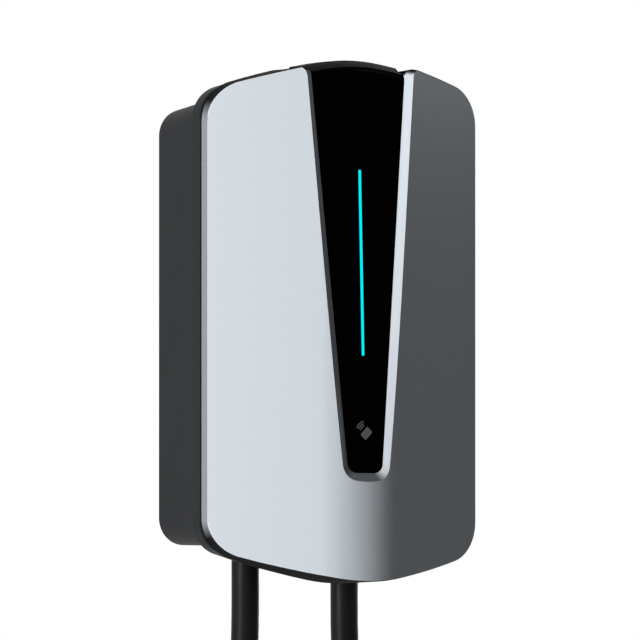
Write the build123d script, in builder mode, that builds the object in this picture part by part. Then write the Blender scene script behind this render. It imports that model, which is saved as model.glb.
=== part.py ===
from build123d import *

import os
from math import asin, atan2, cos, degrees, pi, radians, sin, sqrt, tan

# A wall-mounted charger for electric cars, in millimetres. The wall is the plane Y = 0, the front
# faces -Y, +Z is up and X = 0 is the middle. "Depth" is the distance in front of the wall. A silver
# cover with two flat wings and a blended ridge stands on a dark mid frame and a dark rear housing.
# Its tapering window holds a gloss black panel with a light line. Two cables leave the floor.

# Front cover
COVER_WIDTH = 203.0
COVER_HEIGHT = 348.6
CROWN_RADIUS = 128.0
CROWN_HALF = 22.0
FLANK_RADIUS = 560.0
COVER_CORNER = 28.0
COVER_WALL = 2.6
COVER_EDGE_ROUND = 1.0
EDGE_DEPTH = 87.5
RIM_DEPTH = 7.6
WING_ANGLE = 23.6
RIDGE_RADIUS = 80.0

# Window in the cover, open at its top: the half width is that of the panel's edge at Z = 0
WINDOW_HALF = 21.5
WINDOW_TAPER = 0.0845
WINDOW_BOTTOM = -102.0
WINDOW_CORNER = 7.0
BEVEL_RUN = 5.2
BEVEL_RISE = 2.8
BEVEL_DROP = 3.5
BEVEL_CORNER = 3.0
LIP_ROUND = 6.0
PANEL_SINK = 7.54
PANEL_SLOPE = 0.039
BEVEL_SLOPE = 0.0316

# Display panel, its carrier and the light line
PANEL_THICK = 3.0
PANEL_TOP_DROP = 4.0
PANEL_TOP_DEEP = 6.5
PANEL_TOP_ROUND = 6.0
CARRIER_WALL = 2.4
CARRIER_TOP_WALL = 9.0
CARRIER_TOP_RUN = 6.0
CARRIER_TOP_RISE = 3.6
LIGHT_TOP = 100.6
LIGHT_BOTTOM = -23.7
LIGHT_WIDTH = 2.0
GUIDE_FLANGE = 2.0
GUIDE_FLANGE_SIDE = 2.0
CHIP_SIZE = (2.8, 3.5)
CHIP_HEIGHT = 1.4
CHIP_INSET = 3.0
CHIPS = 21
LIGHT_BOARD_WIDTH = 12.0
LIGHT_BOARD_END = 4.0
READER_Z = -74.0
READER_WIDTH = 20.0
READER_HEIGHT = 34.0

# Mid frame, wider than the cover at each side and shorter at each end
FRAME_PROUD = 1.3
FRAME_SHORT = 1.6
FRAME_CORNER = 23.0
FRAME_BACK = 67.6
FRAME_FRONT = 79.5
FRAME_WALL = 3.0
FRAME_EDGE_ROUND = 1.2
RIBBON_WIDTH = 10.0
RIBBON_PLAY = 2.0
RIBBON_THICK = 0.6
RIBBON_RISE = 8.0
RIBBON_STRAIGHT = 14.0
RIBBON_BEND = 5.0

# Rear housing, smaller than the cover at each side and end, more so at its back
REAR_BACK_SIDE = 9.5
REAR_BACK_END = 28.7
REAR_BACK_DROP = 2.1
REAR_FRONT_SIDE = 7.0
REAR_FRONT_END = 24.3
REAR_CORNER = 18.0
REAR_WALL = 3.0
REAR_EDGE_ROUND = 1.0
RECESS_DEPTH = 8.0
RECESS_SIDE = 0.5
RECESS_PLAY = 9.0
POCKET_HALF = 62.0
POCKET_BACK = 3.0
POCKET_FRONT = 42.0
POCKET_HEIGHT = 29.6
GASKET_THICK = 1.0
GASKET_WIDTH = 2.0

# Screws and bosses
BOSS_RADIUS = 5.0
SCREW_RADIUS = 2.0
SCREW_HEAD_RADIUS = 3.5
SCREW_HEAD = 2.4
SCREW_GRIP = 11.0
SCREW_SHORT = 1.0
COVER_SCREW_X = 48.0
COVER_SCREW_END = 15.5
FRAME_SCREW_SIDE = 12.0
FRAME_SCREW_END = 11.6

# Wall bracket: sheet steel with four hooks, which the housing's lips hang on
BRACKET_SIDE = 32.0
BRACKET_END = 55.6
BRACKET_THICK = 2.0
BRACKET_CORNER = 8.0
BRACKET_HOLE = 2.75
BRACKET_HOLE_SIDE = 15.0
BRACKET_HOLE_END = 20.0
HOOK_WIDTH = 24.0
HOOK_SIDE = 26.0
HOOK_END = 40.0
HOOK_RISE = 9.0
HOOK_THROAT = 2.2
LIP_SHELF = 3.0

# Cables and their glands
CABLE_RADIUS = 9.4
CABLE_X = 37.4
CABLE_DEPTH = 21.0
SHEATH_RISE = 21.0
GLAND_THREAD = 14.0
GLAND_BORE = 10.2
GLAND_HEX = 34.0
GLAND_HEX_HEIGHT = 5.0
GLAND_UP = 13.0
GLAND_DOWN = 9.0
GLAND_NOSE_WALL = 2.0
GLAND_NUT_HEIGHT = 5.0
NOSE_THREAD = 13.0
SEAL_WALL = 2.6
SEAL_HEIGHT = 8.0
DOME_HEIGHT = 24.0
DOME_TOP_RADIUS = 16.5
DOME_LOW_RADIUS = 11.5
CORE_RADIUS = 2.2
CORE_RING = 5.6
CORE_ANGLES = (162, 234, 90, 306, 18)
CORE_STRAIGHT = 9.0
CORE_BEND = 8.0

# Main board, what it stands on and what it carries
BOARD_SIDE = 7.0
BOARD_RISE = 27.0
BOARD_END = 2.0
BOARD_BACK = 19.0
BOARD_THICK = 1.6
BOARD_CORNER = 2.0
STANDOFF_RADIUS = 3.5
STANDOFF_INSET = 4.0
STANDOFF_HOLE = 1.5
BOARD_SCREW_HEAD = 2.8
BOARD_SCREW_LENGTH = 8.0
TERMINAL_PITCH = 11.0
TERMINAL_RISE = 47.0
TERMINAL_HEIGHT = 22.0
TERMINAL_DEEP = 24.0
TERMINAL_WIRE_DEEP = 9.0
TERMINAL_WIRE_HEIGHT = 11.0
TERMINAL_SCREW = 2.8
CASE_CORNER = 1.5
CASE_GAP = 2.0
RELAY_SIZE = (28.0, 13.0, 26.0)
RELAY_PITCH = 34.0
RELAY_RISE = 36.0
POWER_SIZE = (46.0, 36.0, 24.0)
SENSOR_SIZE = (34.0, 34.0, 15.0)
SENSOR_HOLE = 9.0
CAPACITOR_RADIUS = 8.0
CAPACITOR_HEIGHT = 25.0
CAPACITOR_PITCH = 20.0
CAPACITOR_X = 10.0
RADIO_SIZE = (20.0, 28.0, 3.2)

# Clearances
SHUT_GAP = 0.3
SEAT_GAP = 0.15
SLIP_GAP = 0.05
LIP_GAP = 0.6

# How far a cutting shape runs past what it cuts, and how near counts as being at a place
PAST = 20.0
NEAR = 0.01

# Coil of the put-away lead, with its ties, and the vehicle connector that hangs from it
COIL_MIDDLE = 6 * 2 * CABLE_RADIUS
COIL_ROWS = 4
COIL_LAYERS = 2
COIL_STUB = 80.0
COIL_ROUND = 8.0
COIL_SKIN = 0.4
TIE_WIDTH = 16.0
TIE_THICK = 1.5
TIE_COUNT = 3
TIE_FIRST = 110.0
ARC_SHARE = 0.45
BARE_LENGTH = 40.0
FERRULE_LENGTH = 14.0
FERRULE_RADIUS = 1.5
RELIEF_LENGTH = 45.0
RELIEF_TOP_RADIUS = 11.5
RELIEF_LOW_RADIUS = 14.0
HANDLE_LENGTH = 118.0
WAIST = (20.0, 17.5)
GRIP_THICK = 2.0
GRIP_LENGTH = 62.0
SHOULDER = (27.0, 25.0)
COLLAR_RADIUS = 33.0
COLLAR_LENGTH = 7.0
SLEEVE_RADIUS = 28.0
SLEEVE_FLAT = 23.0
SLEEVE_WALL = 2.6
SLEEVE_LENGTH = 40.0
CORE_BLOCK_RADIUS = 22.0
CORE_BLOCK_SHORT = 3.0
CONTACT_RADIUS = 3.0
CONTACT_BORE = 1.5
CONTACT_RING = 14.0
CONTACT_LENGTH = 24.0
CAP_WALL = 2.4

HALF = COVER_WIDTH / 2
APEX = COVER_HEIGHT / 2
RISE = tan(radians(WING_ANGLE))
RIDGE_STAND = RISE * HALF - RIDGE_RADIUS * (1 / cos(radians(WING_ANGLE)) - 1)
PANEL_STAND = RIDGE_STAND - PANEL_SINK
LIGHT_LENGTH = LIGHT_TOP - LIGHT_BOTTOM
LIGHT_MIDDLE = (LIGHT_TOP + LIGHT_BOTTOM) / 2
LIGHT_BOARD_BACK = PANEL_THICK + GUIDE_FLANGE + CHIP_HEIGHT
FRAME_WIDTH = COVER_WIDTH + 2 * FRAME_PROUD
FRAME_HEIGHT = COVER_HEIGHT - 2 * FRAME_SHORT
REAR_BACK_WIDTH = COVER_WIDTH - 2 * REAR_BACK_SIDE
REAR_BACK_HEIGHT = COVER_HEIGHT - 2 * REAR_BACK_END
REAR_FRONT_WIDTH = COVER_WIDTH - 2 * REAR_FRONT_SIDE
REAR_FRONT_HEIGHT = COVER_HEIGHT - 2 * REAR_FRONT_END
REAR_FRONT = FRAME_BACK - GASKET_THICK
FLOOR_FRONT = FRAME_BACK + FRAME_WALL
PANEL_TOP_DEPTH = EDGE_DEPTH + PANEL_STAND - PANEL_SLOPE * APEX
PANEL_LIP = PANEL_TOP_DROP + PANEL_TOP_ROUND
CARRIER_TOP_DEPTH = PANEL_TOP_DEPTH - PANEL_TOP_DEEP - SHUT_GAP
CARRIER_INNER_TOP = APEX - CARRIER_TOP_WALL
COVER_BACK = EDGE_DEPTH - RIM_DEPTH
POCKET_TOP = POCKET_HEIGHT - REAR_BACK_HEIGHT / 2
SHEATH_TOP = POCKET_TOP + SHEATH_RISE
COVER_SCREW_Z = FRAME_HEIGHT / 2 - COVER_SCREW_END
FRAME_SCREW_X = REAR_BACK_WIDTH / 2 - FRAME_SCREW_SIDE
FRAME_SCREW_Z = REAR_BACK_HEIGHT / 2 - FRAME_SCREW_END
BRACKET_WIDTH = REAR_BACK_WIDTH - 2 * BRACKET_SIDE
BRACKET_HEIGHT = REAR_BACK_HEIGHT - 2 * BRACKET_END
HOOK_X = BRACKET_WIDTH / 2 - HOOK_SIDE
HOOK_Z = BRACKET_HEIGHT / 2 - HOOK_END
BOARD_FRONT = BOARD_BACK + BOARD_THICK
BOARD_LOW = SHEATH_TOP + BOARD_RISE
BOARD_HIGH = FRAME_SCREW_Z - BOARD_END
BOARD_WIDTH = 2 * (FRAME_SCREW_X - BOARD_SIDE)
BOARD_HEIGHT = BOARD_HIGH - BOARD_LOW
BOARD_Z = (BOARD_HIGH + BOARD_LOW) / 2
TERMINAL_Z = SHEATH_TOP + TERMINAL_RISE
TERMINAL_LOW = TERMINAL_Z - TERMINAL_HEIGHT / 2
WIRE_DEPTH = BOARD_FRONT + TERMINAL_WIRE_HEIGHT
RIBBON_Z = TERMINAL_Z + RIBBON_RISE
COVER_SPOTS = [(x, z) for x in (-COVER_SCREW_X, COVER_SCREW_X) for z in (-COVER_SCREW_Z, COVER_SCREW_Z)]
FRAME_SPOTS = [(x, z) for x in (-FRAME_SCREW_X, FRAME_SCREW_X) for z in (-FRAME_SCREW_Z, FRAME_SCREW_Z)]
HOOK_SPOTS = [(x, z) for x in (-HOOK_X, HOOK_X) for z in (-HOOK_Z, HOOK_Z)]
GLAND_SPOTS = [(x, -CABLE_DEPTH) for x in (-CABLE_X, CABLE_X)]
NOSE_LOW = POCKET_TOP - GLAND_HEX_HEIGHT - GLAND_DOWN
SEAL_LOW = NOSE_LOW + GLAND_DOWN - GLAND_NOSE_WALL - SEAL_HEIGHT
DOME_TOP = POCKET_TOP - GLAND_HEX_HEIGHT
CONTACT_SPOTS = [(0, 0)] + [
    (CONTACT_RING * cos(radians(60 * k)), CONTACT_RING * sin(radians(60 * k))) for k in range(6)
]
BOARD_SPOT_X = BOARD_WIDTH / 2 - STANDOFF_INSET
BOARD_SPOT_Z = BOARD_HEIGHT / 2 - STANDOFF_INSET
BOARD_SPOTS = [
    (x, BOARD_Z + z) for x in (-BOARD_SPOT_X, BOARD_SPOT_X) for z in (-BOARD_SPOT_Z, 0, BOARD_SPOT_Z)
]
CASE_EDGE = BOARD_SPOT_X - BOARD_SCREW_HEAD - CASE_GAP
RELAY_Z = TERMINAL_Z + RELAY_RISE
POWER_AT = (POWER_SIZE[0] / 2 - CASE_EDGE, BOARD_HIGH - CASE_GAP - POWER_SIZE[1] / 2)
SENSOR_AT = (POWER_AT[0], RELAY_Z + RELAY_SIZE[1] / 2 + CASE_GAP + SENSOR_SIZE[1] / 2)
CAPACITOR_AT = (CAPACITOR_X, BOARD_HIGH - CAPACITOR_PITCH - CAPACITOR_RADIUS - CASE_GAP)
RADIO_AT = (CASE_EDGE - RADIO_SIZE[0] / 2, BOARD_HIGH - CASE_GAP - RADIO_SIZE[1] / 2)
COIL_OUTER = COIL_MIDDLE + (COIL_ROWS - 1) * CABLE_RADIUS

# Routes of the supply cable and of the charging lead down to its coil, as (X, depth, Z)
SUPPLY_ROUTE = [
    (-CABLE_X, CABLE_DEPTH, SHEATH_TOP),
    (-CABLE_X, CABLE_DEPTH, SHEATH_TOP - 55.0),
    (-37.4, 21.2, -208.0),
    (-37.6, 16.4, -258.0),
    (-38.0, 11.0, -308.0),
    (-39.4, 10.6, -366.0),
    (-41.8, 10.6, -430.0),
    (-46.0, 10.6, -505.0),
    (-51.5, 10.6, -580.0),
]
LEAD_ROUTE = [
    (CABLE_X, CABLE_DEPTH, SHEATH_TOP),
    (CABLE_X, CABLE_DEPTH, SHEATH_TOP - 65.0),
    (37.4, 21.6, -238.0),
    (54.3, 24.2, -279.7),
    (85.6, 27.4, -312.0),
]


def forward(depth):
    """The plane that faces the front, at this depth: its axes are X and Z."""
    return Plane.XZ.offset(depth)


def panel_plane(step):
    """The plane of the panel's face at step 0 and of the bevel's outer edge at step 1."""
    stand = PANEL_STAND + step * BEVEL_RISE
    slope = PANEL_SLOPE + step * (BEVEL_SLOPE - PANEL_SLOPE)
    return Plane(
        origin=(0, -EDGE_DEPTH - stand, 0), x_dir=(1, 0, 0), z_dir=(0, -1, slope)
    )


def point_on(centre, radius, angle):
    """A point of a circle, with the angle from straight up."""
    return centre[0] + radius * sin(angle), centre[1] + radius * cos(angle)


def shield(half_width, apex, corner, grow=0.0):
    """The cover's outline: straight sides, round corners and arched ends, grown by an amount."""
    lean = asin(CROWN_HALF / CROWN_RADIUS)
    crown = (0.0, apex - CROWN_RADIUS)
    flank = point_on(crown, CROWN_RADIUS - FLANK_RADIUS, lean)
    turn_x = half_width - corner
    turn_z = flank[1] + sqrt((FLANK_RADIUS - corner) ** 2 - (turn_x - flank[0]) ** 2)
    turn = atan2(turn_x - flank[0], turn_z - flank[1])
    crown_r, flank_r, corner_r = CROWN_RADIUS + grow, FLANK_RADIUS + grow, corner + grow
    side = half_width + grow
    knee, hip = point_on(flank, flank_r, lean), point_on(flank, flank_r, turn)
    with BuildSketch() as outline:
        with BuildLine():
            Line((0, 0), (0, apex + grow))
            ThreePointArc((0, apex + grow), point_on(crown, crown_r, lean / 2), knee)
            ThreePointArc(knee, point_on(flank, flank_r, (turn + lean) / 2), hip)
            elbow = point_on((turn_x, turn_z), corner_r, (turn + pi / 2) / 2)
            ThreePointArc(hip, elbow, (side, turn_z))
            Polyline((side, turn_z), (side, 0), (0, 0))
        make_face()
        mirror(about=Plane.XZ)
        mirror(about=Plane.YZ)
    return outline.sketch


def wings(inset=0.0):
    """The region behind the two wings and the ridge, seen from above, moved back by an inset."""
    lean = radians(WING_ANGLE)
    peak = EDGE_DEPTH + RISE * HALF - inset / cos(lean)
    hub = EDGE_DEPTH + RISE * HALF - RIDGE_RADIUS / cos(lean)
    bend = RIDGE_RADIUS - inset
    touch = (bend * sin(lean), hub + bend * cos(lean))
    far = HALF + COVER_CORNER
    side = (far, peak - RISE * far)
    with BuildSketch() as region:
        with BuildLine():
            Polyline(
                (-touch[0], -touch[1]), (-far, -side[1]), (-far, 0), (far, 0),
                (far, -side[1]), (touch[0], -touch[1]),
            )
            ThreePointArc(
                (touch[0], -touch[1]), (0, -hub - bend), (-touch[0], -touch[1])
            )
        make_face()
    return region.sketch


def window(step, shrink=0.0, flare=0.0):
    """The window's outline at a step of its bevel, open at the top, where a flare rounds it out."""
    half = WINDOW_HALF + step * BEVEL_RUN - shrink
    low = WINDOW_BOTTOM - step * BEVEL_DROP + shrink
    high = APEX + PAST
    with BuildSketch() as outline:
        with BuildLine():
            Polyline(
                (-half - WINDOW_TAPER * low, low), (half + WINDOW_TAPER * low, low),
                (half + WINDOW_TAPER * high, high), (-half - WINDOW_TAPER * high, high),
                close=True,
            )
        make_face()
        fillet(
            outline.vertices().group_by(Axis.Y)[0],
            WINDOW_CORNER + step * BEVEL_CORNER - shrink,
        )
        if flare:
            reach = half + WINDOW_TAPER * APEX + 2 * flare
            with BuildSketch(mode=Mode.PRIVATE) as above:
                with Locations((0, high)):
                    Rectangle(2 * reach, APEX / 2, align=(Align.CENTER, Align.MAX))
                add(shield(HALF, APEX, COVER_CORNER, SLIP_GAP), mode=Mode.SUBTRACT)
            add(above.sketch)
            lips = outline.vertices().filter_by(
                lambda v: abs(v.Y - APEX) < PAST and reach / 2 < abs(v.X) < reach - flare
            )
            fillet(lips, flare)
    return outline.sketch


def front_edges(part, depth):
    """The edges of a part that lie wholly at one depth."""
    return part.edges().filter_by_position(Axis.Y, -depth - NEAR, -depth + NEAR)


def rear_outline(depth, inset=0.0):
    """The rear housing's section at one depth, made smaller by an inset."""
    share = depth / REAR_FRONT
    width = REAR_BACK_WIDTH + share * (REAR_FRONT_WIDTH - REAR_BACK_WIDTH)
    height = REAR_BACK_HEIGHT + share * (REAR_FRONT_HEIGHT - REAR_BACK_HEIGHT)
    with BuildSketch() as outline:
        with Locations((0, (share - 1) * REAR_BACK_DROP)):
            RectangleRounded(width - 2 * inset, height - 2 * inset, REAR_CORNER - inset)
    return outline.sketch


def level(z):
    """The level plane at this height, with its normal upwards."""
    return Plane.XY.offset(z)


def terminal_row(centre):
    """The X of each terminal in the block around this centre."""
    first = -(len(CORE_ANGLES) - 1) / 2
    return [centre + (first + k) * TERMINAL_PITCH for k in range(len(CORE_ANGLES))]


def screws(spots, seat, tip, radius, head_radius):
    """Screws with a hexagon socket, whose heads seat at one depth and whose tips reach another."""
    side = 1 if tip > seat else -1
    with BuildPart() as group:
        with BuildSketch(forward(seat)):
            with Locations(*spots):
                Circle(radius - SLIP_GAP)
        extrude(amount=tip - seat)
        with BuildSketch(forward(seat)):
            with Locations(*spots):
                Circle(head_radius)
        extrude(amount=-side * SCREW_HEAD)
        with BuildSketch(forward(seat - side * SCREW_HEAD)):
            with Locations(*spots):
                RegularPolygon(head_radius / 2, 6)
        extrude(amount=side * SCREW_HEAD / 2, mode=Mode.SUBTRACT)
    return group


# Front cover: a moulded shell whose bosses take the screws from behind
with BuildPart() as window_tool:
    with BuildSketch(panel_plane(0)):
        add(window(0, flare=LIP_ROUND))
    with BuildSketch(panel_plane(2)):
        add(window(2, flare=LIP_ROUND))
    loft(ruled=True)
    with BuildSketch(panel_plane(2)):
        add(window(2, flare=LIP_ROUND))
    extrude(amount=EDGE_DEPTH)
    with BuildSketch(panel_plane(0)):
        add(window(0, flare=LIP_ROUND))
    extrude(amount=-EDGE_DEPTH)

# The same outline, larger by the wall: the bevel's wall runs back to the panel's back
with BuildPart() as window_wall:
    with BuildSketch(panel_plane(0)):
        add(window(0, -COVER_WALL))
    with BuildSketch(panel_plane(2)):
        add(window(2, -COVER_WALL))
    loft(ruled=True)
    with BuildSketch(panel_plane(0)):
        add(window(0, -COVER_WALL))
    extrude(amount=-PANEL_THICK)

with BuildPart() as cover_core:
    with BuildSketch(forward(0)):
        add(shield(HALF, APEX, COVER_CORNER, -COVER_WALL))
    extrude(amount=EDGE_DEPTH + RISE * HALF)
    with BuildSketch(level(-COVER_HEIGHT)):
        add(wings(COVER_WALL))
    extrude(amount=2 * COVER_HEIGHT, mode=Mode.INTERSECT)
    add(window_wall.part, mode=Mode.SUBTRACT)
    with BuildSketch(forward(0)):
        with GridLocations(2 * COVER_SCREW_X, 2 * COVER_SCREW_Z, 2, 2):
            Circle(BOSS_RADIUS)
    extrude(amount=EDGE_DEPTH + RISE * HALF, mode=Mode.SUBTRACT)

with BuildPart() as front_cover:
    with BuildSketch(forward(COVER_BACK)):
        add(shield(HALF, APEX, COVER_CORNER))
    extrude(amount=RIM_DEPTH + RISE * HALF)
    with BuildSketch(level(-COVER_HEIGHT)):
        add(wings())
    extrude(amount=2 * COVER_HEIGHT, mode=Mode.INTERSECT)
    front_faces = front_cover.faces().filter_by(
        lambda f: f.normal_at().Y < -0.5 and abs(f.normal_at().Z) < NEAR
    )
    fillet(
        front_faces.edges().filter_by(
            lambda e: abs(e.tangent_at(0.5).Z) < 1 - NEAR or abs(e.center().X) > HALF - NEAR
        ),
        COVER_EDGE_ROUND,
    )
    add(window_tool.part, mode=Mode.SUBTRACT)
    add(cover_core.part, mode=Mode.SUBTRACT)
    with BuildSketch(forward(COVER_BACK)):
        with GridLocations(2 * COVER_SCREW_X, 2 * COVER_SCREW_Z, 2, 2):
            Circle(SCREW_RADIUS)
    extrude(amount=SCREW_GRIP, mode=Mode.SUBTRACT)


# Display panel: a gloss sheet that rolls back at its top, with a slot for the light line
with BuildPart() as display_panel:
    with BuildSketch(panel_plane(0)):
        add(window(0, SHUT_GAP))
    extrude(amount=-PANEL_TOP_DEEP)
    with BuildSketch(forward(0)):
        add(shield(HALF, APEX - PANEL_TOP_DROP, COVER_CORNER))
    extrude(amount=2 * EDGE_DEPTH, mode=Mode.INTERSECT)
    panel_face = display_panel.faces().filter_by(lambda f: f.normal_at().Y < -0.9)[0]
    fillet(
        panel_face.edges().filter_by(
            lambda e: e.center().Z > APEX / 2 and abs(e.tangent_at(0.5).Z) < 0.8
        ),
        PANEL_TOP_ROUND,
    )
    with BuildSketch(panel_plane(0).offset(-PANEL_THICK)):
        add(shield(HALF, APEX - PANEL_LIP, COVER_CORNER))
    extrude(amount=-PANEL_TOP_DEEP, mode=Mode.SUBTRACT)
    with BuildSketch(panel_plane(0)):
        with Locations((0, LIGHT_MIDDLE)):
            SlotOverall(LIGHT_LENGTH, LIGHT_WIDTH, rotation=90)
    extrude(amount=2 * PANEL_THICK, both=True, mode=Mode.SUBTRACT)

# Light guide: the bar in the slot, with a wider flange behind the panel
with BuildPart() as light_guide:
    with BuildSketch(panel_plane(0)):
        with Locations((0, LIGHT_MIDDLE)):
            SlotOverall(LIGHT_LENGTH, LIGHT_WIDTH, rotation=90)
    extrude(amount=-PANEL_THICK)
    with BuildSketch(panel_plane(0).offset(-PANEL_THICK)):
        with Locations((0, LIGHT_MIDDLE)):
            SlotOverall(
                LIGHT_LENGTH + 2 * GUIDE_FLANGE_SIDE, LIGHT_WIDTH + 2 * GUIDE_FLANGE_SIDE, rotation=90
            )
    extrude(amount=-GUIDE_FLANGE)

# Light board behind the guide, with a row of light-emitting chips
with BuildPart() as light_board:
    with BuildSketch(panel_plane(0).offset(-LIGHT_BOARD_BACK)):
        with Locations((0, LIGHT_MIDDLE)):
            Rectangle(LIGHT_BOARD_WIDTH, LIGHT_LENGTH + 2 * LIGHT_BOARD_END)
    extrude(amount=-BOARD_THICK)

with BuildPart() as light_chips:
    with BuildSketch(panel_plane(0).offset(-LIGHT_BOARD_BACK)):
        with Locations((0, LIGHT_MIDDLE)):
            with GridLocations(1, (LIGHT_LENGTH - 2 * CHIP_INSET) / (CHIPS - 1), 1, CHIPS):
                Rectangle(*CHIP_SIZE)
    extrude(amount=CHIP_HEIGHT)

# Reader board behind the panel's lower end
with BuildPart() as reader_board:
    with BuildSketch(panel_plane(0).offset(-PANEL_THICK)):
        with Locations((0, READER_Z)):
            RectangleRounded(READER_WIDTH, READER_HEIGHT, BOARD_CORNER)
    extrude(amount=-BOARD_THICK)

# Panel carrier: a tub between the mid frame and the panel, level with the cover's top
with BuildPart() as carrier_core:
    with BuildSketch(forward(FLOOR_FRONT + CARRIER_WALL)):
        add(window(0, SHUT_GAP + CARRIER_WALL))
        with BuildSketch(mode=Mode.INTERSECT):
            add(shield(HALF, CARRIER_INNER_TOP, COVER_CORNER))
    extrude(amount=2 * EDGE_DEPTH)

with BuildPart() as panel_carrier:
    with BuildSketch(forward(FLOOR_FRONT)):
        add(window(0, SHUT_GAP))
        with BuildSketch(mode=Mode.INTERSECT):
            add(shield(FRAME_WIDTH / 2, FRAME_HEIGHT / 2, FRAME_CORNER, -FRAME_WALL - SHUT_GAP))
    extrude(amount=FRAME_FRONT - FLOOR_FRONT + SHUT_GAP)
    with BuildSketch(forward(FRAME_FRONT + SHUT_GAP)):
        add(window(0, SHUT_GAP))
        with BuildSketch(mode=Mode.INTERSECT):
            add(shield(HALF, APEX, COVER_CORNER, -SHUT_GAP))
    extrude(amount=CARRIER_TOP_DEPTH - FRAME_FRONT - SHUT_GAP)
    carrier_face = panel_carrier.faces().filter_by(Axis.Y).sort_by(Axis.Y)[0]
    top_edges = carrier_face.edges().filter_by(
        lambda e: e.center().Z > APEX / 2 and abs(e.tangent_at(0.5).Z) < 0.8
    )
    chamfer(top_edges, CARRIER_TOP_RISE, CARRIER_TOP_RUN, reference=carrier_face)
    with BuildSketch(forward(CARRIER_TOP_DEPTH)):
        add(window(0, SHUT_GAP))
        with BuildSketch(mode=Mode.INTERSECT):
            add(shield(HALF, APEX - PANEL_LIP - LIP_GAP, COVER_CORNER))
    extrude(amount=EDGE_DEPTH)
    add(carrier_core.part, mode=Mode.SUBTRACT)
    with BuildSketch(panel_plane(0).offset(-PANEL_THICK)):
        Rectangle(3 * HALF, 3 * APEX)
    extrude(amount=EDGE_DEPTH, mode=Mode.SUBTRACT)
    with BuildSketch(forward(FLOOR_FRONT)):
        with Locations((0, RIBBON_Z)):
            Rectangle(RIBBON_WIDTH + 2 * RIBBON_PLAY, RIBBON_BEND)
    extrude(amount=CARRIER_WALL, mode=Mode.SUBTRACT)

# Mid frame: the dark tray behind the cover, with pads under the cover's bosses
with BuildPart() as mid_frame:
    with BuildSketch(forward(FRAME_BACK)):
        add(shield(FRAME_WIDTH / 2, FRAME_HEIGHT / 2, FRAME_CORNER))
    extrude(amount=FRAME_FRONT - FRAME_BACK)
    fillet(
        front_edges(mid_frame, FRAME_BACK) + front_edges(mid_frame, FRAME_FRONT),
        FRAME_EDGE_ROUND,
    )
    with BuildSketch(forward(FLOOR_FRONT)):
        add(shield(FRAME_WIDTH / 2, FRAME_HEIGHT / 2, FRAME_CORNER, -FRAME_WALL))
    extrude(amount=FRAME_FRONT, mode=Mode.SUBTRACT)
    with BuildSketch(forward(FLOOR_FRONT)):
        with Locations(*COVER_SPOTS):
            Circle(BOSS_RADIUS)
    extrude(amount=COVER_BACK - FLOOR_FRONT)
    with BuildSketch(forward(FRAME_BACK)):
        with Locations(*COVER_SPOTS, *FRAME_SPOTS):
            Circle(SCREW_RADIUS + SHUT_GAP)
        with Locations((0, RIBBON_Z)):
            Rectangle(RIBBON_WIDTH + 2 * RIBBON_PLAY, RIBBON_BEND)
    extrude(amount=FRAME_FRONT, mode=Mode.SUBTRACT)

# Seal between the mid frame and the rear housing
with BuildPart() as seal_gasket:
    with BuildSketch(forward(REAR_FRONT)):
        add(rear_outline(REAR_FRONT, (REAR_WALL - GASKET_WIDTH) / 2))
        add(rear_outline(REAR_FRONT, (REAR_WALL + GASKET_WIDTH) / 2), mode=Mode.SUBTRACT)
    extrude(amount=GASKET_THICK)

# Rear housing: a drafted tub with a recess for the bracket and a pocket for the cable glands
with BuildPart() as rear_hollow:
    for depth in (REAR_WALL, REAR_FRONT):
        with BuildSketch(forward(depth)):
            add(rear_outline(depth, REAR_WALL))
    loft(ruled=True)
    with BuildSketch(forward(0)):
        Rectangle(
            BRACKET_WIDTH + 2 * (RECESS_SIDE + REAR_WALL),
            BRACKET_HEIGHT + 2 * (RECESS_PLAY + REAR_WALL),
        )
    extrude(amount=RECESS_DEPTH + REAR_WALL, mode=Mode.SUBTRACT)
    with BuildSketch(forward(0)):
        with Locations((0, POCKET_TOP + REAR_WALL)):
            Rectangle(
                2 * (POCKET_HALF + REAR_WALL), REAR_FRONT_HEIGHT, align=(Align.CENTER, Align.MAX)
            )
    extrude(amount=POCKET_FRONT + REAR_WALL, mode=Mode.SUBTRACT)
    with BuildSketch(forward(0)):
        with Locations(*FRAME_SPOTS):
            Circle(BOSS_RADIUS)
    extrude(amount=REAR_FRONT, mode=Mode.SUBTRACT)

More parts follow.
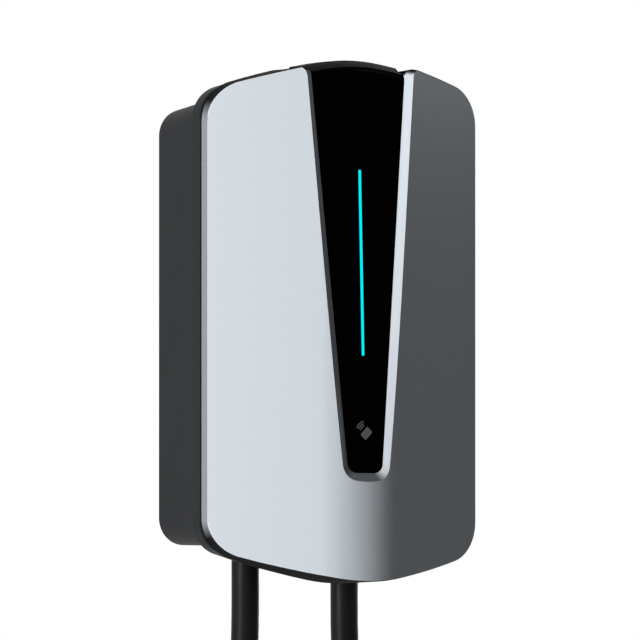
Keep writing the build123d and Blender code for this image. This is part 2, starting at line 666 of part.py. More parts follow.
with BuildPart() as rear_housing:
    for depth in (0, REAR_FRONT):
        with BuildSketch(forward(depth)):
            add(rear_outline(depth))
    loft(ruled=True)
    fillet(front_edges(rear_housing, 0), REAR_EDGE_ROUND)
    add(rear_hollow.part, mode=Mode.SUBTRACT)
    with BuildSketch(forward(REAR_FRONT)):
        with Locations(*FRAME_SPOTS):
            Circle(BOSS_RADIUS)
    extrude(amount=GASKET_THICK)
    with BuildSketch(forward(FRAME_BACK)):
        with Locations(*FRAME_SPOTS):
            Circle(SCREW_RADIUS)
    extrude(amount=-SCREW_GRIP, mode=Mode.SUBTRACT)
    with BuildSketch(forward(0)):
        Rectangle(BRACKET_WIDTH + 2 * RECESS_SIDE, BRACKET_HEIGHT + 2 * RECESS_PLAY)
    extrude(amount=RECESS_DEPTH, mode=Mode.SUBTRACT)
    with BuildSketch(forward(BRACKET_THICK + SEAT_GAP)):
        with Locations(*HOOK_SPOTS):
            with Locations((0, BRACKET_THICK / 2)):
                Rectangle(HOOK_WIDTH, HOOK_RISE + LIP_SHELF, align=(Align.CENTER, Align.MIN))
    extrude(amount=HOOK_THROAT - 2 * SEAT_GAP)
    with BuildSketch(forward(BRACKET_THICK + SEAT_GAP)):
        with Locations(*HOOK_SPOTS):
            with Locations((0, BRACKET_THICK / 2 + HOOK_RISE)):
                Rectangle(HOOK_WIDTH, LIP_SHELF, align=(Align.CENTER, Align.MIN))
    extrude(amount=RECESS_DEPTH - BRACKET_THICK - SEAT_GAP)
    with BuildSketch(forward(POCKET_BACK)):
        with Locations((0, POCKET_TOP)):
            Rectangle(2 * POCKET_HALF, REAR_FRONT_HEIGHT, align=(Align.CENTER, Align.MAX))
    extrude(amount=POCKET_FRONT - POCKET_BACK, mode=Mode.SUBTRACT)
    with BuildSketch(level(POCKET_TOP)):
        with Locations(*GLAND_SPOTS):
            Circle(GLAND_THREAD + SEAT_GAP)
    extrude(amount=REAR_WALL, mode=Mode.SUBTRACT)

# Wall bracket, which is screwed to the wall through four holes
with BuildPart() as wall_bracket:
    with BuildSketch(forward(0)):
        RectangleRounded(BRACKET_WIDTH, BRACKET_HEIGHT, BRACKET_CORNER)
        with GridLocations(
            BRACKET_WIDTH - 2 * BRACKET_HOLE_SIDE, BRACKET_HEIGHT - 2 * BRACKET_HOLE_END, 2, 2
        ):
            Circle(BRACKET_HOLE, mode=Mode.SUBTRACT)
    extrude(amount=BRACKET_THICK)
    with BuildSketch(forward(BRACKET_THICK)):
        with Locations(*HOOK_SPOTS):
            Rectangle(HOOK_WIDTH, BRACKET_THICK)
    extrude(amount=HOOK_THROAT + BRACKET_THICK)
    with BuildSketch(forward(BRACKET_THICK + HOOK_THROAT)):
        with Locations(*HOOK_SPOTS):
            with Locations((0, -BRACKET_THICK / 2)):
                Rectangle(HOOK_WIDTH, HOOK_RISE, align=(Align.CENTER, Align.MIN))
    extrude(amount=BRACKET_THICK)

# Cable glands: body, nut, seal and domed cap on each cable
with BuildPart() as gland_bodies:
    with BuildSketch(level(POCKET_TOP - GLAND_HEX_HEIGHT)):
        with Locations(*GLAND_SPOTS):
            RegularPolygon(GLAND_HEX / 2, 6, major_radius=False)
    extrude(amount=GLAND_HEX_HEIGHT)
    with BuildSketch(level(POCKET_TOP)):
        with Locations(*GLAND_SPOTS):
            Circle(GLAND_THREAD)
    extrude(amount=GLAND_UP)
    with BuildSketch(level(POCKET_TOP - GLAND_HEX_HEIGHT)):
        with Locations(*GLAND_SPOTS):
            Circle(NOSE_THREAD)
    extrude(amount=-GLAND_DOWN)
    with BuildSketch(level(POCKET_TOP + GLAND_UP)):
        with Locations(*GLAND_SPOTS):
            Circle(GLAND_BORE)
    extrude(amount=-GLAND_UP - GLAND_HEX_HEIGHT - GLAND_DOWN, mode=Mode.SUBTRACT)
    with BuildSketch(level(NOSE_LOW)):
        with Locations(*GLAND_SPOTS):
            Circle(CABLE_RADIUS + SLIP_GAP + SEAL_WALL + SEAT_GAP)
    extrude(amount=GLAND_DOWN - GLAND_NOSE_WALL, mode=Mode.SUBTRACT)

with BuildPart() as gland_nuts:
    with BuildSketch(level(POCKET_TOP + REAR_WALL)):
        with Locations(*GLAND_SPOTS):
            RegularPolygon(GLAND_HEX / 2, 6, major_radius=False)
            Circle(GLAND_THREAD + SLIP_GAP, mode=Mode.SUBTRACT)
    extrude(amount=GLAND_NUT_HEIGHT)

with BuildPart() as gland_seals:
    with BuildSketch(level(NOSE_LOW + GLAND_DOWN - GLAND_NOSE_WALL)):
        with Locations(*GLAND_SPOTS):
            Circle(CABLE_RADIUS + SLIP_GAP + SEAL_WALL)
            Circle(CABLE_RADIUS + SLIP_GAP, mode=Mode.SUBTRACT)
    extrude(amount=-SEAL_HEIGHT)

with BuildPart() as gland_domes:
    for spot in GLAND_SPOTS:
        with BuildSketch(level(DOME_TOP)):
            with Locations(spot):
                Circle(DOME_TOP_RADIUS)
        with BuildSketch(level(DOME_TOP - DOME_HEIGHT)):
            with Locations(spot):
                Circle(DOME_LOW_RADIUS)
        loft()
    with BuildSketch(level(DOME_TOP)):
        with Locations(*GLAND_SPOTS):
            Circle(NOSE_THREAD + SLIP_GAP)
    extrude(amount=SEAL_LOW - DOME_TOP, mode=Mode.SUBTRACT)
    with BuildSketch(level(DOME_TOP)):
        with Locations(*GLAND_SPOTS):
            Circle(CABLE_RADIUS + SHUT_GAP)
    extrude(amount=-DOME_HEIGHT, mode=Mode.SUBTRACT)

# Main board on its standoffs
with BuildPart() as main_board:
    with BuildSketch(forward(BOARD_BACK)):
        with Locations((0, BOARD_Z)):
            RectangleRounded(BOARD_WIDTH, BOARD_HEIGHT, STANDOFF_RADIUS)
        with Locations(*BOARD_SPOTS):
            Circle(STANDOFF_HOLE + SEAT_GAP, mode=Mode.SUBTRACT)
    extrude(amount=BOARD_THICK)

with BuildPart() as board_standoffs:
    with BuildSketch(forward(REAR_WALL)):
        with Locations(*BOARD_SPOTS):
            Circle(STANDOFF_RADIUS)
    extrude(amount=BOARD_BACK - REAR_WALL)
    with BuildSketch(forward(BOARD_BACK)):
        with Locations(*BOARD_SPOTS):
            Circle(STANDOFF_HOLE)
    extrude(amount=-BOARD_SCREW_LENGTH, mode=Mode.SUBTRACT)

# What the main board carries
with BuildPart() as relays:
    with BuildSketch(forward(BOARD_FRONT)):
        with Locations((0, RELAY_Z)):
            with GridLocations(RELAY_PITCH, 1, 4, 1):
                RectangleRounded(RELAY_SIZE[0], RELAY_SIZE[1], CASE_CORNER)
    extrude(amount=RELAY_SIZE[2])

with BuildPart() as power_module:
    with BuildSketch(forward(BOARD_FRONT)):
        with Locations(POWER_AT):
            RectangleRounded(POWER_SIZE[0], POWER_SIZE[1], CASE_CORNER)
    extrude(amount=POWER_SIZE[2])

with BuildPart() as current_sensor:
    with BuildSketch(forward(BOARD_FRONT)):
        with Locations(SENSOR_AT):
            RectangleRounded(SENSOR_SIZE[0], SENSOR_SIZE[1], CASE_CORNER)
            Circle(SENSOR_HOLE, mode=Mode.SUBTRACT)
    extrude(amount=SENSOR_SIZE[2])

with BuildPart() as capacitors:
    with BuildSketch(forward(BOARD_FRONT)):
        with Locations(CAPACITOR_AT):
            with GridLocations(1, CAPACITOR_PITCH, 1, 3):
                Circle(CAPACITOR_RADIUS)
    extrude(amount=CAPACITOR_HEIGHT)

with BuildPart() as radio_module:
    with BuildSketch(forward(BOARD_FRONT)):
        with Locations(RADIO_AT):
            Rectangle(RADIO_SIZE[0], RADIO_SIZE[1])
    extrude(amount=RADIO_SIZE[2])


def terminal_block(centre):
    """A block of five terminals on the board: wires enter from below, screws from the front."""
    with BuildPart() as block:
        with BuildSketch(forward(BOARD_FRONT)):
            with Locations((centre, TERMINAL_Z)):
                Rectangle(len(CORE_ANGLES) * TERMINAL_PITCH, TERMINAL_HEIGHT)
        extrude(amount=TERMINAL_DEEP)
        with BuildSketch(level(TERMINAL_LOW)):
            with Locations(*[(x, -WIRE_DEPTH) for x in terminal_row(centre)]):
                Circle(CORE_RADIUS + SEAT_GAP)
        extrude(amount=TERMINAL_WIRE_DEEP, mode=Mode.SUBTRACT)
        with BuildSketch(forward(BOARD_FRONT + TERMINAL_DEEP)):
            with Locations(*[(x, TERMINAL_Z) for x in terminal_row(centre)]):
                Circle(TERMINAL_SCREW)
        extrude(amount=-TERMINAL_WIRE_HEIGHT / 2, mode=Mode.SUBTRACT)
    return block


def cores(centre):
    """Five insulated cores that fan out from the end of a cable's sheath to the terminals."""
    with BuildPart() as bundle:
        for angle, x in zip(CORE_ANGLES, terminal_row(centre)):
            start = (
                centre + CORE_RING * cos(radians(angle)),
                -CABLE_DEPTH - CORE_RING * sin(radians(angle)),
            )
            with BuildLine() as route:
                FilletPolyline(
                    (*start, SHEATH_TOP),
                    (*start, SHEATH_TOP + CORE_STRAIGHT),
                    (x, -WIRE_DEPTH, TERMINAL_LOW - CORE_STRAIGHT),
                    (x, -WIRE_DEPTH, TERMINAL_LOW + TERMINAL_WIRE_DEEP),
                    radius=CORE_BEND,
                )
            with BuildSketch(Plane(origin=route.line @ 0, z_dir=route.line % 0)):
                Circle(CORE_RADIUS)
            sweep(path=route.line)
    return bundle


supply_terminals = terminal_block(-CABLE_X)
lead_terminals = terminal_block(CABLE_X)
supply_cores = cores(-CABLE_X)
lead_cores = cores(CABLE_X)

# Ribbon cable from the light board to the main board, through the slot in the mid frame
ribbon_start = panel_plane(0).offset(-LIGHT_BOARD_BACK - BOARD_THICK).from_local_coords(
    (0, LIGHT_BOTTOM)
)
with BuildPart() as ribbon_cable:
    with BuildLine() as ribbon_route:
        FilletPolyline(
            ribbon_start,
            ribbon_start - panel_plane(0).z_dir * RIBBON_STRAIGHT,
            (0, -FLOOR_FRONT - RIBBON_STRAIGHT, RIBBON_Z),
            (0, -BOARD_FRONT, RIBBON_Z),
            radius=RIBBON_BEND,
        )
    with BuildSketch(
        Plane(origin=ribbon_start, x_dir=(1, 0, 0), z_dir=ribbon_route.line % 0)
    ):
        Rectangle(RIBBON_WIDTH, RIBBON_THICK)
    sweep(path=ribbon_route.line)

# Screws: the cover's come from behind, the frame's and the board's from the front
cover_screws = screws(
    COVER_SPOTS, FRAME_BACK, COVER_BACK + SCREW_GRIP - SCREW_SHORT, SCREW_RADIUS, SCREW_HEAD_RADIUS
)
frame_screws = screws(
    FRAME_SPOTS, FLOOR_FRONT, FRAME_BACK - SCREW_GRIP + SCREW_SHORT, SCREW_RADIUS, SCREW_HEAD_RADIUS
)
board_screws = screws(
    BOARD_SPOTS, BOARD_FRONT, BOARD_BACK - BOARD_SCREW_LENGTH + SCREW_SHORT,
    STANDOFF_HOLE, BOARD_SCREW_HEAD,
)


def place(point):
    """Where a route's point lies, given as (X, depth, Z)."""
    return Vector(point[0], -point[1], point[2])


def tube(route):
    """A round cable along straight runs, joined by arcs that take up a share of each run."""
    points = [place(point) for point in route]
    runs = [b - a for a, b in zip(points, points[1:])]
    radii = [
        ARC_SHARE * min(before.length, after.length) / tan(radians(before.get_angle(after)) / 2)
        for before, after in zip(runs, runs[1:])
    ]
    with BuildPart() as cable:
        with BuildLine() as path:
            FilletPolyline(*points, radius=radii)
        with BuildSketch(Plane(origin=points[0], z_dir=runs[0])):
            Circle(CABLE_RADIUS)
        sweep(path=path.line)
    return cable


supply_cable = tube(SUPPLY_ROUTE)
lead_cable = tube(LEAD_ROUTE)

# Cut-back end of the supply cable: five cores with ferrules
supply_end = place(SUPPLY_ROUTE[-1])
end_plane = Plane(
    origin=supply_end, x_dir=(0, 1, 0), z_dir=supply_end - place(SUPPLY_ROUTE[-2])
)
with BuildPart() as supply_core_ends:
    with BuildSketch(end_plane):
        with PolarLocations(CORE_RING, len(CORE_ANGLES)):
            Circle(CORE_RADIUS)
    extrude(amount=BARE_LENGTH)

with BuildPart() as core_ferrules:
    with BuildSketch(end_plane.offset(BARE_LENGTH)):
        with PolarLocations(CORE_RING, len(CORE_ANGLES)):
            Circle(FERRULE_RADIUS)
    extrude(amount=FERRULE_LENGTH)

# Coil: the last run of the lead's route leads into the rear outer turn
lead_end = place(LEAD_ROUTE[-1])
heading = (lead_end - place(LEAD_ROUTE[-2])).normalized()
coil_entry = lead_end + heading * COIL_STUB
coil_centre = coil_entry + Vector(heading.Z, 0, -heading.X).normalized() * COIL_OUTER
coil_depth = -coil_entry.Y + (COIL_LAYERS - 1) * CABLE_RADIUS
drop_depth = -coil_entry.Y + (COIL_LAYERS - 1) * 2 * CABLE_RADIUS
drop_x = coil_centre.X + COIL_OUTER
coil_section = [2 * (count * CABLE_RADIUS + COIL_SKIN) for count in (COIL_ROWS, COIL_LAYERS)]
coil_middle = Vector(coil_centre.X, -coil_depth, coil_centre.Z)
coil_axis = Axis(coil_middle, (0, -1, 0))

with BuildPart() as lead_coil:
    with BuildSketch(Plane(origin=coil_middle, x_dir=(1, 0, 0), z_dir=(0, 0, 1))):
        with Locations((COIL_MIDDLE, 0)):
            RectangleRounded(*coil_section, COIL_ROUND)
    revolve(axis=coil_axis)
    with BuildSketch(Plane(origin=lead_end, z_dir=heading)):
        Circle(CABLE_RADIUS)
    extrude(amount=COIL_STUB)
    with BuildSketch(level(coil_centre.Z)):
        with Locations((drop_x, -drop_depth)):
            Circle(CABLE_RADIUS)
    extrude(amount=-COIL_STUB)

with BuildPart() as coil_ties:
    for k in range(TIE_COUNT):
        turn = radians(TIE_FIRST + k * 360 / (TIE_COUNT + 1))
        out, along = (cos(turn), 0, sin(turn)), (-sin(turn), 0, cos(turn))
        with BuildSketch(Plane(origin=coil_middle, x_dir=out, z_dir=along)):
            with Locations((COIL_MIDDLE, 0)):
                RectangleRounded(
                    *[size + 2 * (TIE_THICK + SLIP_GAP) for size in coil_section],
                    COIL_ROUND + TIE_THICK,
                )
                RectangleRounded(
                    *[size + 2 * SLIP_GAP for size in coil_section], COIL_ROUND, mode=Mode.SUBTRACT
                )
        revolve(axis=coil_axis, revolution_arc=degrees(TIE_WIDTH / COIL_MIDDLE))

# Vehicle connector, hanging by its cable: strain relief, handle, grip, head, contacts and cap
relief_top = coil_centre.Z - COIL_STUB
handle_top = relief_top - RELIEF_LENGTH
collar_top = handle_top - HANDLE_LENGTH
sleeve_top = collar_top - COLLAR_LENGTH
sleeve_low = sleeve_top - SLEEVE_LENGTH


def hang(z):
    """A level plane at this height, centred on the hanging connector, with its normal downwards."""
    return Plane(origin=(drop_x, -drop_depth, z), x_dir=(1, 0, 0), z_dir=(0, 0, -1))


def keyed(radius, flat_at):
    """A circle with one flat side, as a vehicle connector's sleeve has."""
    with BuildSketch() as outline:
        Circle(radius)
        with Locations((0, flat_at)):
            Rectangle(4 * radius, 2 * radius, align=(Align.CENTER, Align.MIN), mode=Mode.SUBTRACT)
    return outline.sketch


with BuildPart() as connector_relief:
    with BuildSketch(hang(relief_top)):
        Circle(RELIEF_TOP_RADIUS)
    with BuildSketch(hang(handle_top)):
        Circle(RELIEF_LOW_RADIUS)
    loft()

with BuildPart() as connector_handle:
    neck = (HANDLE_LENGTH - GRIP_LENGTH) / 2
    with BuildSketch(hang(handle_top)):
        Circle(RELIEF_LOW_RADIUS + GRIP_THICK)
    with BuildSketch(hang(handle_top - neck)):
        Ellipse(WAIST[0] + GRIP_THICK, WAIST[1] + GRIP_THICK)
    loft()
    with BuildSketch(hang(handle_top - neck)):
        Ellipse(*WAIST)
    extrude(amount=GRIP_LENGTH)
    with BuildSketch(hang(handle_top - neck - GRIP_LENGTH)):
        Ellipse(WAIST[0] + GRIP_THICK, WAIST[1] + GRIP_THICK)
    with BuildSketch(hang(collar_top)):
        Ellipse(*SHOULDER)
    loft()

with BuildPart() as connector_grip:
    with BuildSketch(hang(handle_top - neck - SLIP_GAP)):
        Ellipse(WAIST[0] + GRIP_THICK, WAIST[1] + GRIP_THICK)
        Ellipse(WAIST[0] + SLIP_GAP, WAIST[1] + SLIP_GAP, mode=Mode.SUBTRACT)
    extrude(amount=GRIP_LENGTH - 2 * SLIP_GAP)

with BuildPart() as connector_head:
    with BuildSketch(hang(collar_top)):
        Circle(COLLAR_RADIUS)
    extrude(amount=COLLAR_LENGTH)
    with BuildSketch(hang(sleeve_top)):
        add(keyed(SLEEVE_RADIUS, SLEEVE_FLAT))
        add(keyed(SLEEVE_RADIUS - SLEEVE_WALL, SLEEVE_FLAT - SLEEVE_WALL), mode=Mode.SUBTRACT)
    extrude(amount=SLEEVE_LENGTH)
    with BuildSketch(hang(sleeve_top)):
        add(keyed(CORE_BLOCK_RADIUS, CORE_BLOCK_RADIUS - SLEEVE_WALL))
    extrude(amount=SLEEVE_LENGTH - CORE_BLOCK_SHORT)
    with BuildSketch(hang(sleeve_low + CORE_BLOCK_SHORT)):
        with Locations(*CONTACT_SPOTS):
            Circle(CONTACT_RADIUS + SLIP_GAP)
    extrude(amount=-CONTACT_LENGTH, mode=Mode.SUBTRACT)

with BuildPart() as connector_contacts:
    with BuildSketch(hang(sleeve_low + CORE_BLOCK_SHORT + CONTACT_LENGTH)):
        with Locations(*CONTACT_SPOTS):
            Circle(CONTACT_RADIUS)
            Circle(CONTACT_BORE, mode=Mode.SUBTRACT)
    extrude(amount=CONTACT_LENGTH)

with BuildPart() as connector_cap:
    with BuildSketch(hang(sleeve_top)):
        add(keyed(SLEEVE_RADIUS + CAP_WALL, SLEEVE_FLAT + CAP_WALL))
    extrude(amount=SLEEVE_LENGTH + CAP_WALL)
    with BuildSketch(hang(sleeve_top)):
        add(keyed(SLEEVE_RADIUS + SLIP_GAP, SLEEVE_FLAT + SLIP_GAP))
    extrude(amount=SLEEVE_LENGTH, mode=Mode.SUBTRACT)

PIECES = {
    "front_cover": front_cover,
    "display_panel": display_panel,
    "light_guide": light_guide,
    "light_board": light_board,
    "light_chips": light_chips,
    "reader_board": reader_board,
    "panel_carrier": panel_carrier,
    "mid_frame": mid_frame,
    "seal_gasket": seal_gasket,
    "rear_housing": rear_housing,
    "wall_bracket": wall_bracket,
    "cover_screws": cover_screws,
    "frame_screws": frame_screws,
    "gland_bodies": gland_bodies,
    "gland_nuts": gland_nuts,
    "gland_seals": gland_seals,
    "gland_domes": gland_domes,
    "main_board": main_board,
    "board_standoffs": board_standoffs,
    "board_screws": board_screws,
    "relays": relays,
    "power_module": power_module,
    "current_sensor": current_sensor,
    "capacitors": capacitors,
    "radio_module": radio_module,
    "supply_terminals": supply_terminals,
    "lead_terminals": lead_terminals,
    "supply_cores": supply_cores,
    "lead_cores": lead_cores,
    "ribbon_cable": ribbon_cable,
    "supply_cable": supply_cable,
    "supply_core_ends": supply_core_ends,
    "core_ferrules": core_ferrules,
    "lead_cable": lead_cable,
    "lead_coil": lead_coil,
    "coil_ties": coil_ties,
    "connector_relief": connector_relief,
    "connector_handle": connector_handle,
    "connector_grip": connector_grip,
    "connector_head": connector_head,
    "connector_contacts": connector_contacts,
    "connector_cap": connector_cap,
}

os.makedirs("parts", exist_ok=True)
for name, piece in PIECES.items():
    piece.part.label = name
    export_step(piece.part, f"parts/{name}.step")
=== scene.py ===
"""Dresses a wall-mounted charger for electric cars: finishes for every piece, the two cables with
the put-away coil, the reader mark, the ribbed connector parts and a plain white studio."""

from math import atan2, cos, hypot, pi, radians, sin

import bpy
import numpy as np
from mathutils import Matrix, Vector


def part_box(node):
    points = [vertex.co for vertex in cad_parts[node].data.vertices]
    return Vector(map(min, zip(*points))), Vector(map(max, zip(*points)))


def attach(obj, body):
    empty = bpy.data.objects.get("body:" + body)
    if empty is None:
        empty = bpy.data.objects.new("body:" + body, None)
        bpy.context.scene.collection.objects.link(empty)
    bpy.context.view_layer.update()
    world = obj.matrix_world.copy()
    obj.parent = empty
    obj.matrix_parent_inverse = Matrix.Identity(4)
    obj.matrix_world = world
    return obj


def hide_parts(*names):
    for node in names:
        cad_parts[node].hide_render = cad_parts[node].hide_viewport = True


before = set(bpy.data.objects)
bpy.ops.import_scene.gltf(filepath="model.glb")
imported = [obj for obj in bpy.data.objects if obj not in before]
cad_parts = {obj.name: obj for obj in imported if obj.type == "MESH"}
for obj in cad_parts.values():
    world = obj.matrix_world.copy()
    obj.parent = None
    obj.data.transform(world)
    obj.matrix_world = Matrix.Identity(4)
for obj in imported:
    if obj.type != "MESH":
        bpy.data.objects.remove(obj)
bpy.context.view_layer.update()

bl_info = {
    "name": "Wallbox dressing",
    "version": (1, 0, 0),
    "blender": (4, 5, 0),
    "location": "3D View > Sidebar > Wallbox",
    "description": "Finishes, cables, small pieces and studio of a wall-mounted car charger",
    "category": "Object",
}

MM = 0.001

# Edges stay sharp from these angles, in degrees. The cover's bevel meets its face at 28 to 32.
SHARP = 32
SHARP_COVER = 24
SHARP_RIBS = 50

# Nearly all values of a noise lie between these two
NOISE_LOW, NOISE_HIGH = 0.3, 0.7

# How strongly a finish's relief shows
RELIEF = 0.6

# Sockets of a Mix node for colours, by number because their names repeat
SHARE, FIRST, SECOND, MIXED = 0, 6, 7, 2

# Cover: the window's bevel lies nearer to the middle than this, and the rim's sides lie beyond
SHOULDER = 0.068

# Between these places across, the five cores of the supply cable's end lie side by side
CORES_FROM, CORES_TO = -0.0610, -0.0450

# Routes of the supply cable and of the charging lead down to its coil, in metres
SUPPLY_ROUTE = [
    (-0.0374, -0.0210, -0.095),
    (-0.0374, -0.0210, -0.150),
    (-0.0374, -0.0212, -0.208),
    (-0.0376, -0.0164, -0.258),
    (-0.0380, -0.0110, -0.308),
    (-0.0394, -0.0106, -0.366),
    (-0.0418, -0.0106, -0.430),
    (-0.0460, -0.0106, -0.505),
    (-0.0515, -0.0106, -0.580),
]
LEAD_ROUTE = [
    (0.0374, -0.0210, -0.095),
    (0.0374, -0.0210, -0.160),
    (0.0374, -0.0216, -0.238),
    (0.0543, -0.0242, -0.2797),
    (0.0856, -0.0274, -0.312),
]

# The lead drops from its coil through these shares of the straight length
DROPS = (0.25, 0.6, 1.0)

# Straps round the coil: the angle of each one's middle, and where the front layer's innermost and
# outermost turns lie there, in turns from the innermost row
STRAPS = [(radians(114), 0.92, 2.92), (radians(204), 0.0, 2.0), (radians(294), 0.0, 2.0)]
STRAP_WIDTH = 0.016
STRAP_THICK = 0.0015
STRAP_GAP = 0.0003

# Points round a sleeve, down each of its grooves, round the card, along an arc and a strap's corner
SLEEVE_POINTS, GROOVE_POINTS = 64, 10
CARD_POINTS, ARC_POINTS, CORNER_POINTS = 48, 24, 7

# Connector: wall of the grip's sleeve, and how much the strain relief narrows upwards
GRIP_WALL = 0.00195
RELIEF_TAPER = 0.0025

# Panel: its face stands this far in front of the wall at Z = 0 and leans back by this slope
PANEL_FACE = 0.117
PANEL_SLOPE = 0.039

# Reader mark: middle of its arcs beside and above the card's middle, their radii, their start and
# end, and how far the ink stands out
ARCS_AT = (-0.0005, 0.0009)
ARC_RADII = (0.0072, 0.0056, 0.0041)
ARC_SPAN = (radians(104), radians(160))
INK = 0.00004

# Camera: how far it stands left of the front and above the horizon, what it aims at and how far
# that is shifted in its picture, to the right and up, the width that it sees, 1500 pixels to a
# metre, and its lens and film in millimetres
CAMERA_TURN, CAMERA_RISE = radians(28.0), radians(-2.2)
CAMERA_AIM = Vector((0, -0.0875, 0))
CAMERA_SHIFT = (-0.01442, 0.00122)
SEEN_WIDTH = 640 / 1500
LENS, FILM = 1500, 36

# Key light: what it faces, how far off and how much higher it stands, and its side
KEY_AIM = Vector((0, -0.09, 0))
KEY_AWAY, KEY_RISE, KEY_SIDE = 2.6, 0.2, 0.6

# The other lamps: what each one faces, where it stands from there, and its side
BACK_LAMP = (Vector((0, 0, -0.2)), Vector((2.0, 1.6, 0.5)), 1.2)
TOP_LAMP = (Vector((0.07, -0.1, 0.12)), Vector((0.05, -0.1, 0.19)), 0.06)

# Floor: its level, half its side, and how bright it shows, where 1 is white
FLOOR_LEVEL, FLOOR_HALF, FLOOR_GLOW = -1.3, 2.0, 0.84


def linear(code):
    """The linear colour of an sRGB hex code."""
    values = [int(code[k : k + 2], 16) / 255 for k in (0, 2, 4)]
    return (*(v / 12.92 if v <= 0.04045 else ((v + 0.055) / 1.055) ** 2.4 for v in values), 1.0)


WHITE = linear("FFFFFF")


class FinishColours(bpy.types.PropertyGroup):
    """Colours of the finishes that show most"""

    lacquer: bpy.props.FloatVectorProperty(
        name="Lacquer", description="Silver lacquer on the cover, at its flakes",
        default=linear("D7DEE4"), subtype="COLOR", size=4,
    )
    lacquer_dim: bpy.props.FloatVectorProperty(
        name="Lacquer base", description="Silver lacquer on the cover, between its flakes",
        default=linear("CCD3DA"), subtype="COLOR", size=4,
    )
    line: bpy.props.FloatVectorProperty(
        name="Light line", description="Glow of the light line",
        default=linear("00FAFF"), subtype="COLOR", size=4,
    )
    line_dim: bpy.props.FloatVectorProperty(
        name="Light line, weak", description="Glow of the light line where it is weakest",
        default=linear("00E6EC"), subtype="COLOR", size=4,
    )
    sheath: bpy.props.FloatVectorProperty(
        name="Sheath", description="Cable sheath, on its faint lines",
        default=linear("141517"), subtype="COLOR", size=4,
    )
    sheath_dim: bpy.props.FloatVectorProperty(
        name="Sheath base", description="Cable sheath, between its faint lines",
        default=linear("0E0F10"), subtype="COLOR", size=4,
    )
    floor: bpy.props.FloatVectorProperty(
        name="Floor", description="Colour that the floor throws back on the object",
        default=linear("C4C4C4"), subtype="COLOR", size=4,
    )


class CableSizes(bpy.types.PropertyGroup):
    """Sizes of the two cables and of the coil"""

    diameter: bpy.props.FloatProperty(
        name="Diameter", description="Outside diameter of each cable", default=0.0188, unit="LENGTH"
    )
    rows: bpy.props.IntProperty(name="Rows", description="Turns beside each other", default=4)
    middle: bpy.props.FloatProperty(
        name="Coil radius", description="Radius at the middle of the turns", default=0.1128,
        unit="LENGTH",
    )
    stub: bpy.props.FloatProperty(
        name="Straight", description="Straight length before and after the coil", default=0.080,
        unit="LENGTH",
    )
    turn_points: bpy.props.IntProperty(
        name="Points", description="Route points for each turn", default=24
    )
    shift_points: bpy.props.IntProperty(
        name="Shift", description="Points over which a turn moves to the next row", default=4
    )


class MarkSizes(bpy.types.PropertyGroup):
    """Place and sizes of the reader mark on the panel"""

    across: bpy.props.FloatProperty(
        name="Across", description="Middle of the card, to the right", default=0.0014,
        unit="LENGTH",
    )
    height: bpy.props.FloatProperty(
        name="Height", description="Height of the card's middle", default=-0.0754, unit="LENGTH"
    )
    turn: bpy.props.FloatProperty(
        name="Turn", description="How far the card's long side is turned up",
        default=radians(46), subtype="ANGLE",
    )
    card_length: bpy.props.FloatProperty(
        name="Card length", description="Long side of the card", default=0.0076, unit="LENGTH"
    )
    card_width: bpy.props.FloatProperty(
        name="Card width", description="Short side of the card", default=0.0054, unit="LENGTH"
    )
    stroke: bpy.props.FloatProperty(
        name="Stroke", description="Width of the printed arcs", default=0.0008, unit="LENGTH"
    )


class GripSizes(bpy.types.PropertyGroup):
    """Sizes of the grooves round the connector's grip and strain relief"""

    pitch: bpy.props.FloatProperty(
        name="Rib pitch", description="Distance between grooves", default=0.0052, unit="LENGTH"
    )
    depth: bpy.props.FloatProperty(
        name="Groove depth", description="Depth of the grooves", default=0.0013, unit="LENGTH"
    )


class StudioLight(bpy.types.PropertyGroup):
    """Strengths of the studio's lamps"""

    key: bpy.props.FloatProperty(
        name="Key", description="Soft light from the left", default=97.0, unit="POWER"
    )
    key_turn: bpy.props.FloatProperty(
        name="Key turn", description="How far left of the front the key light stands",
        default=radians(77), subtype="ANGLE",
    )
    back: bpy.props.FloatProperty(
        name="Back", description="Soft light from behind right", default=50.0, unit="POWER"
    )
    top: bpy.props.FloatProperty(
        name="Top", description="Small light above the right wing", default=0.06, unit="POWER"
    )
    ambient: bpy.props.FloatProperty(
        name="Ambient", description="Light from all round", default=0.024
    )


def node(tree, kind, inputs, **settings):
    """Adds a node with its settings. An input gets a value, or a link where it is given a socket."""
    made = tree.nodes.new(kind)
    for name, value in settings.items():
        setattr(made, name, value)
    for name, value in inputs.items():
        if isinstance(value, bpy.types.NodeSocket):
            tree.links.new(value, made.inputs[name])
        else:
            made.inputs[name].default_value = value
    return made


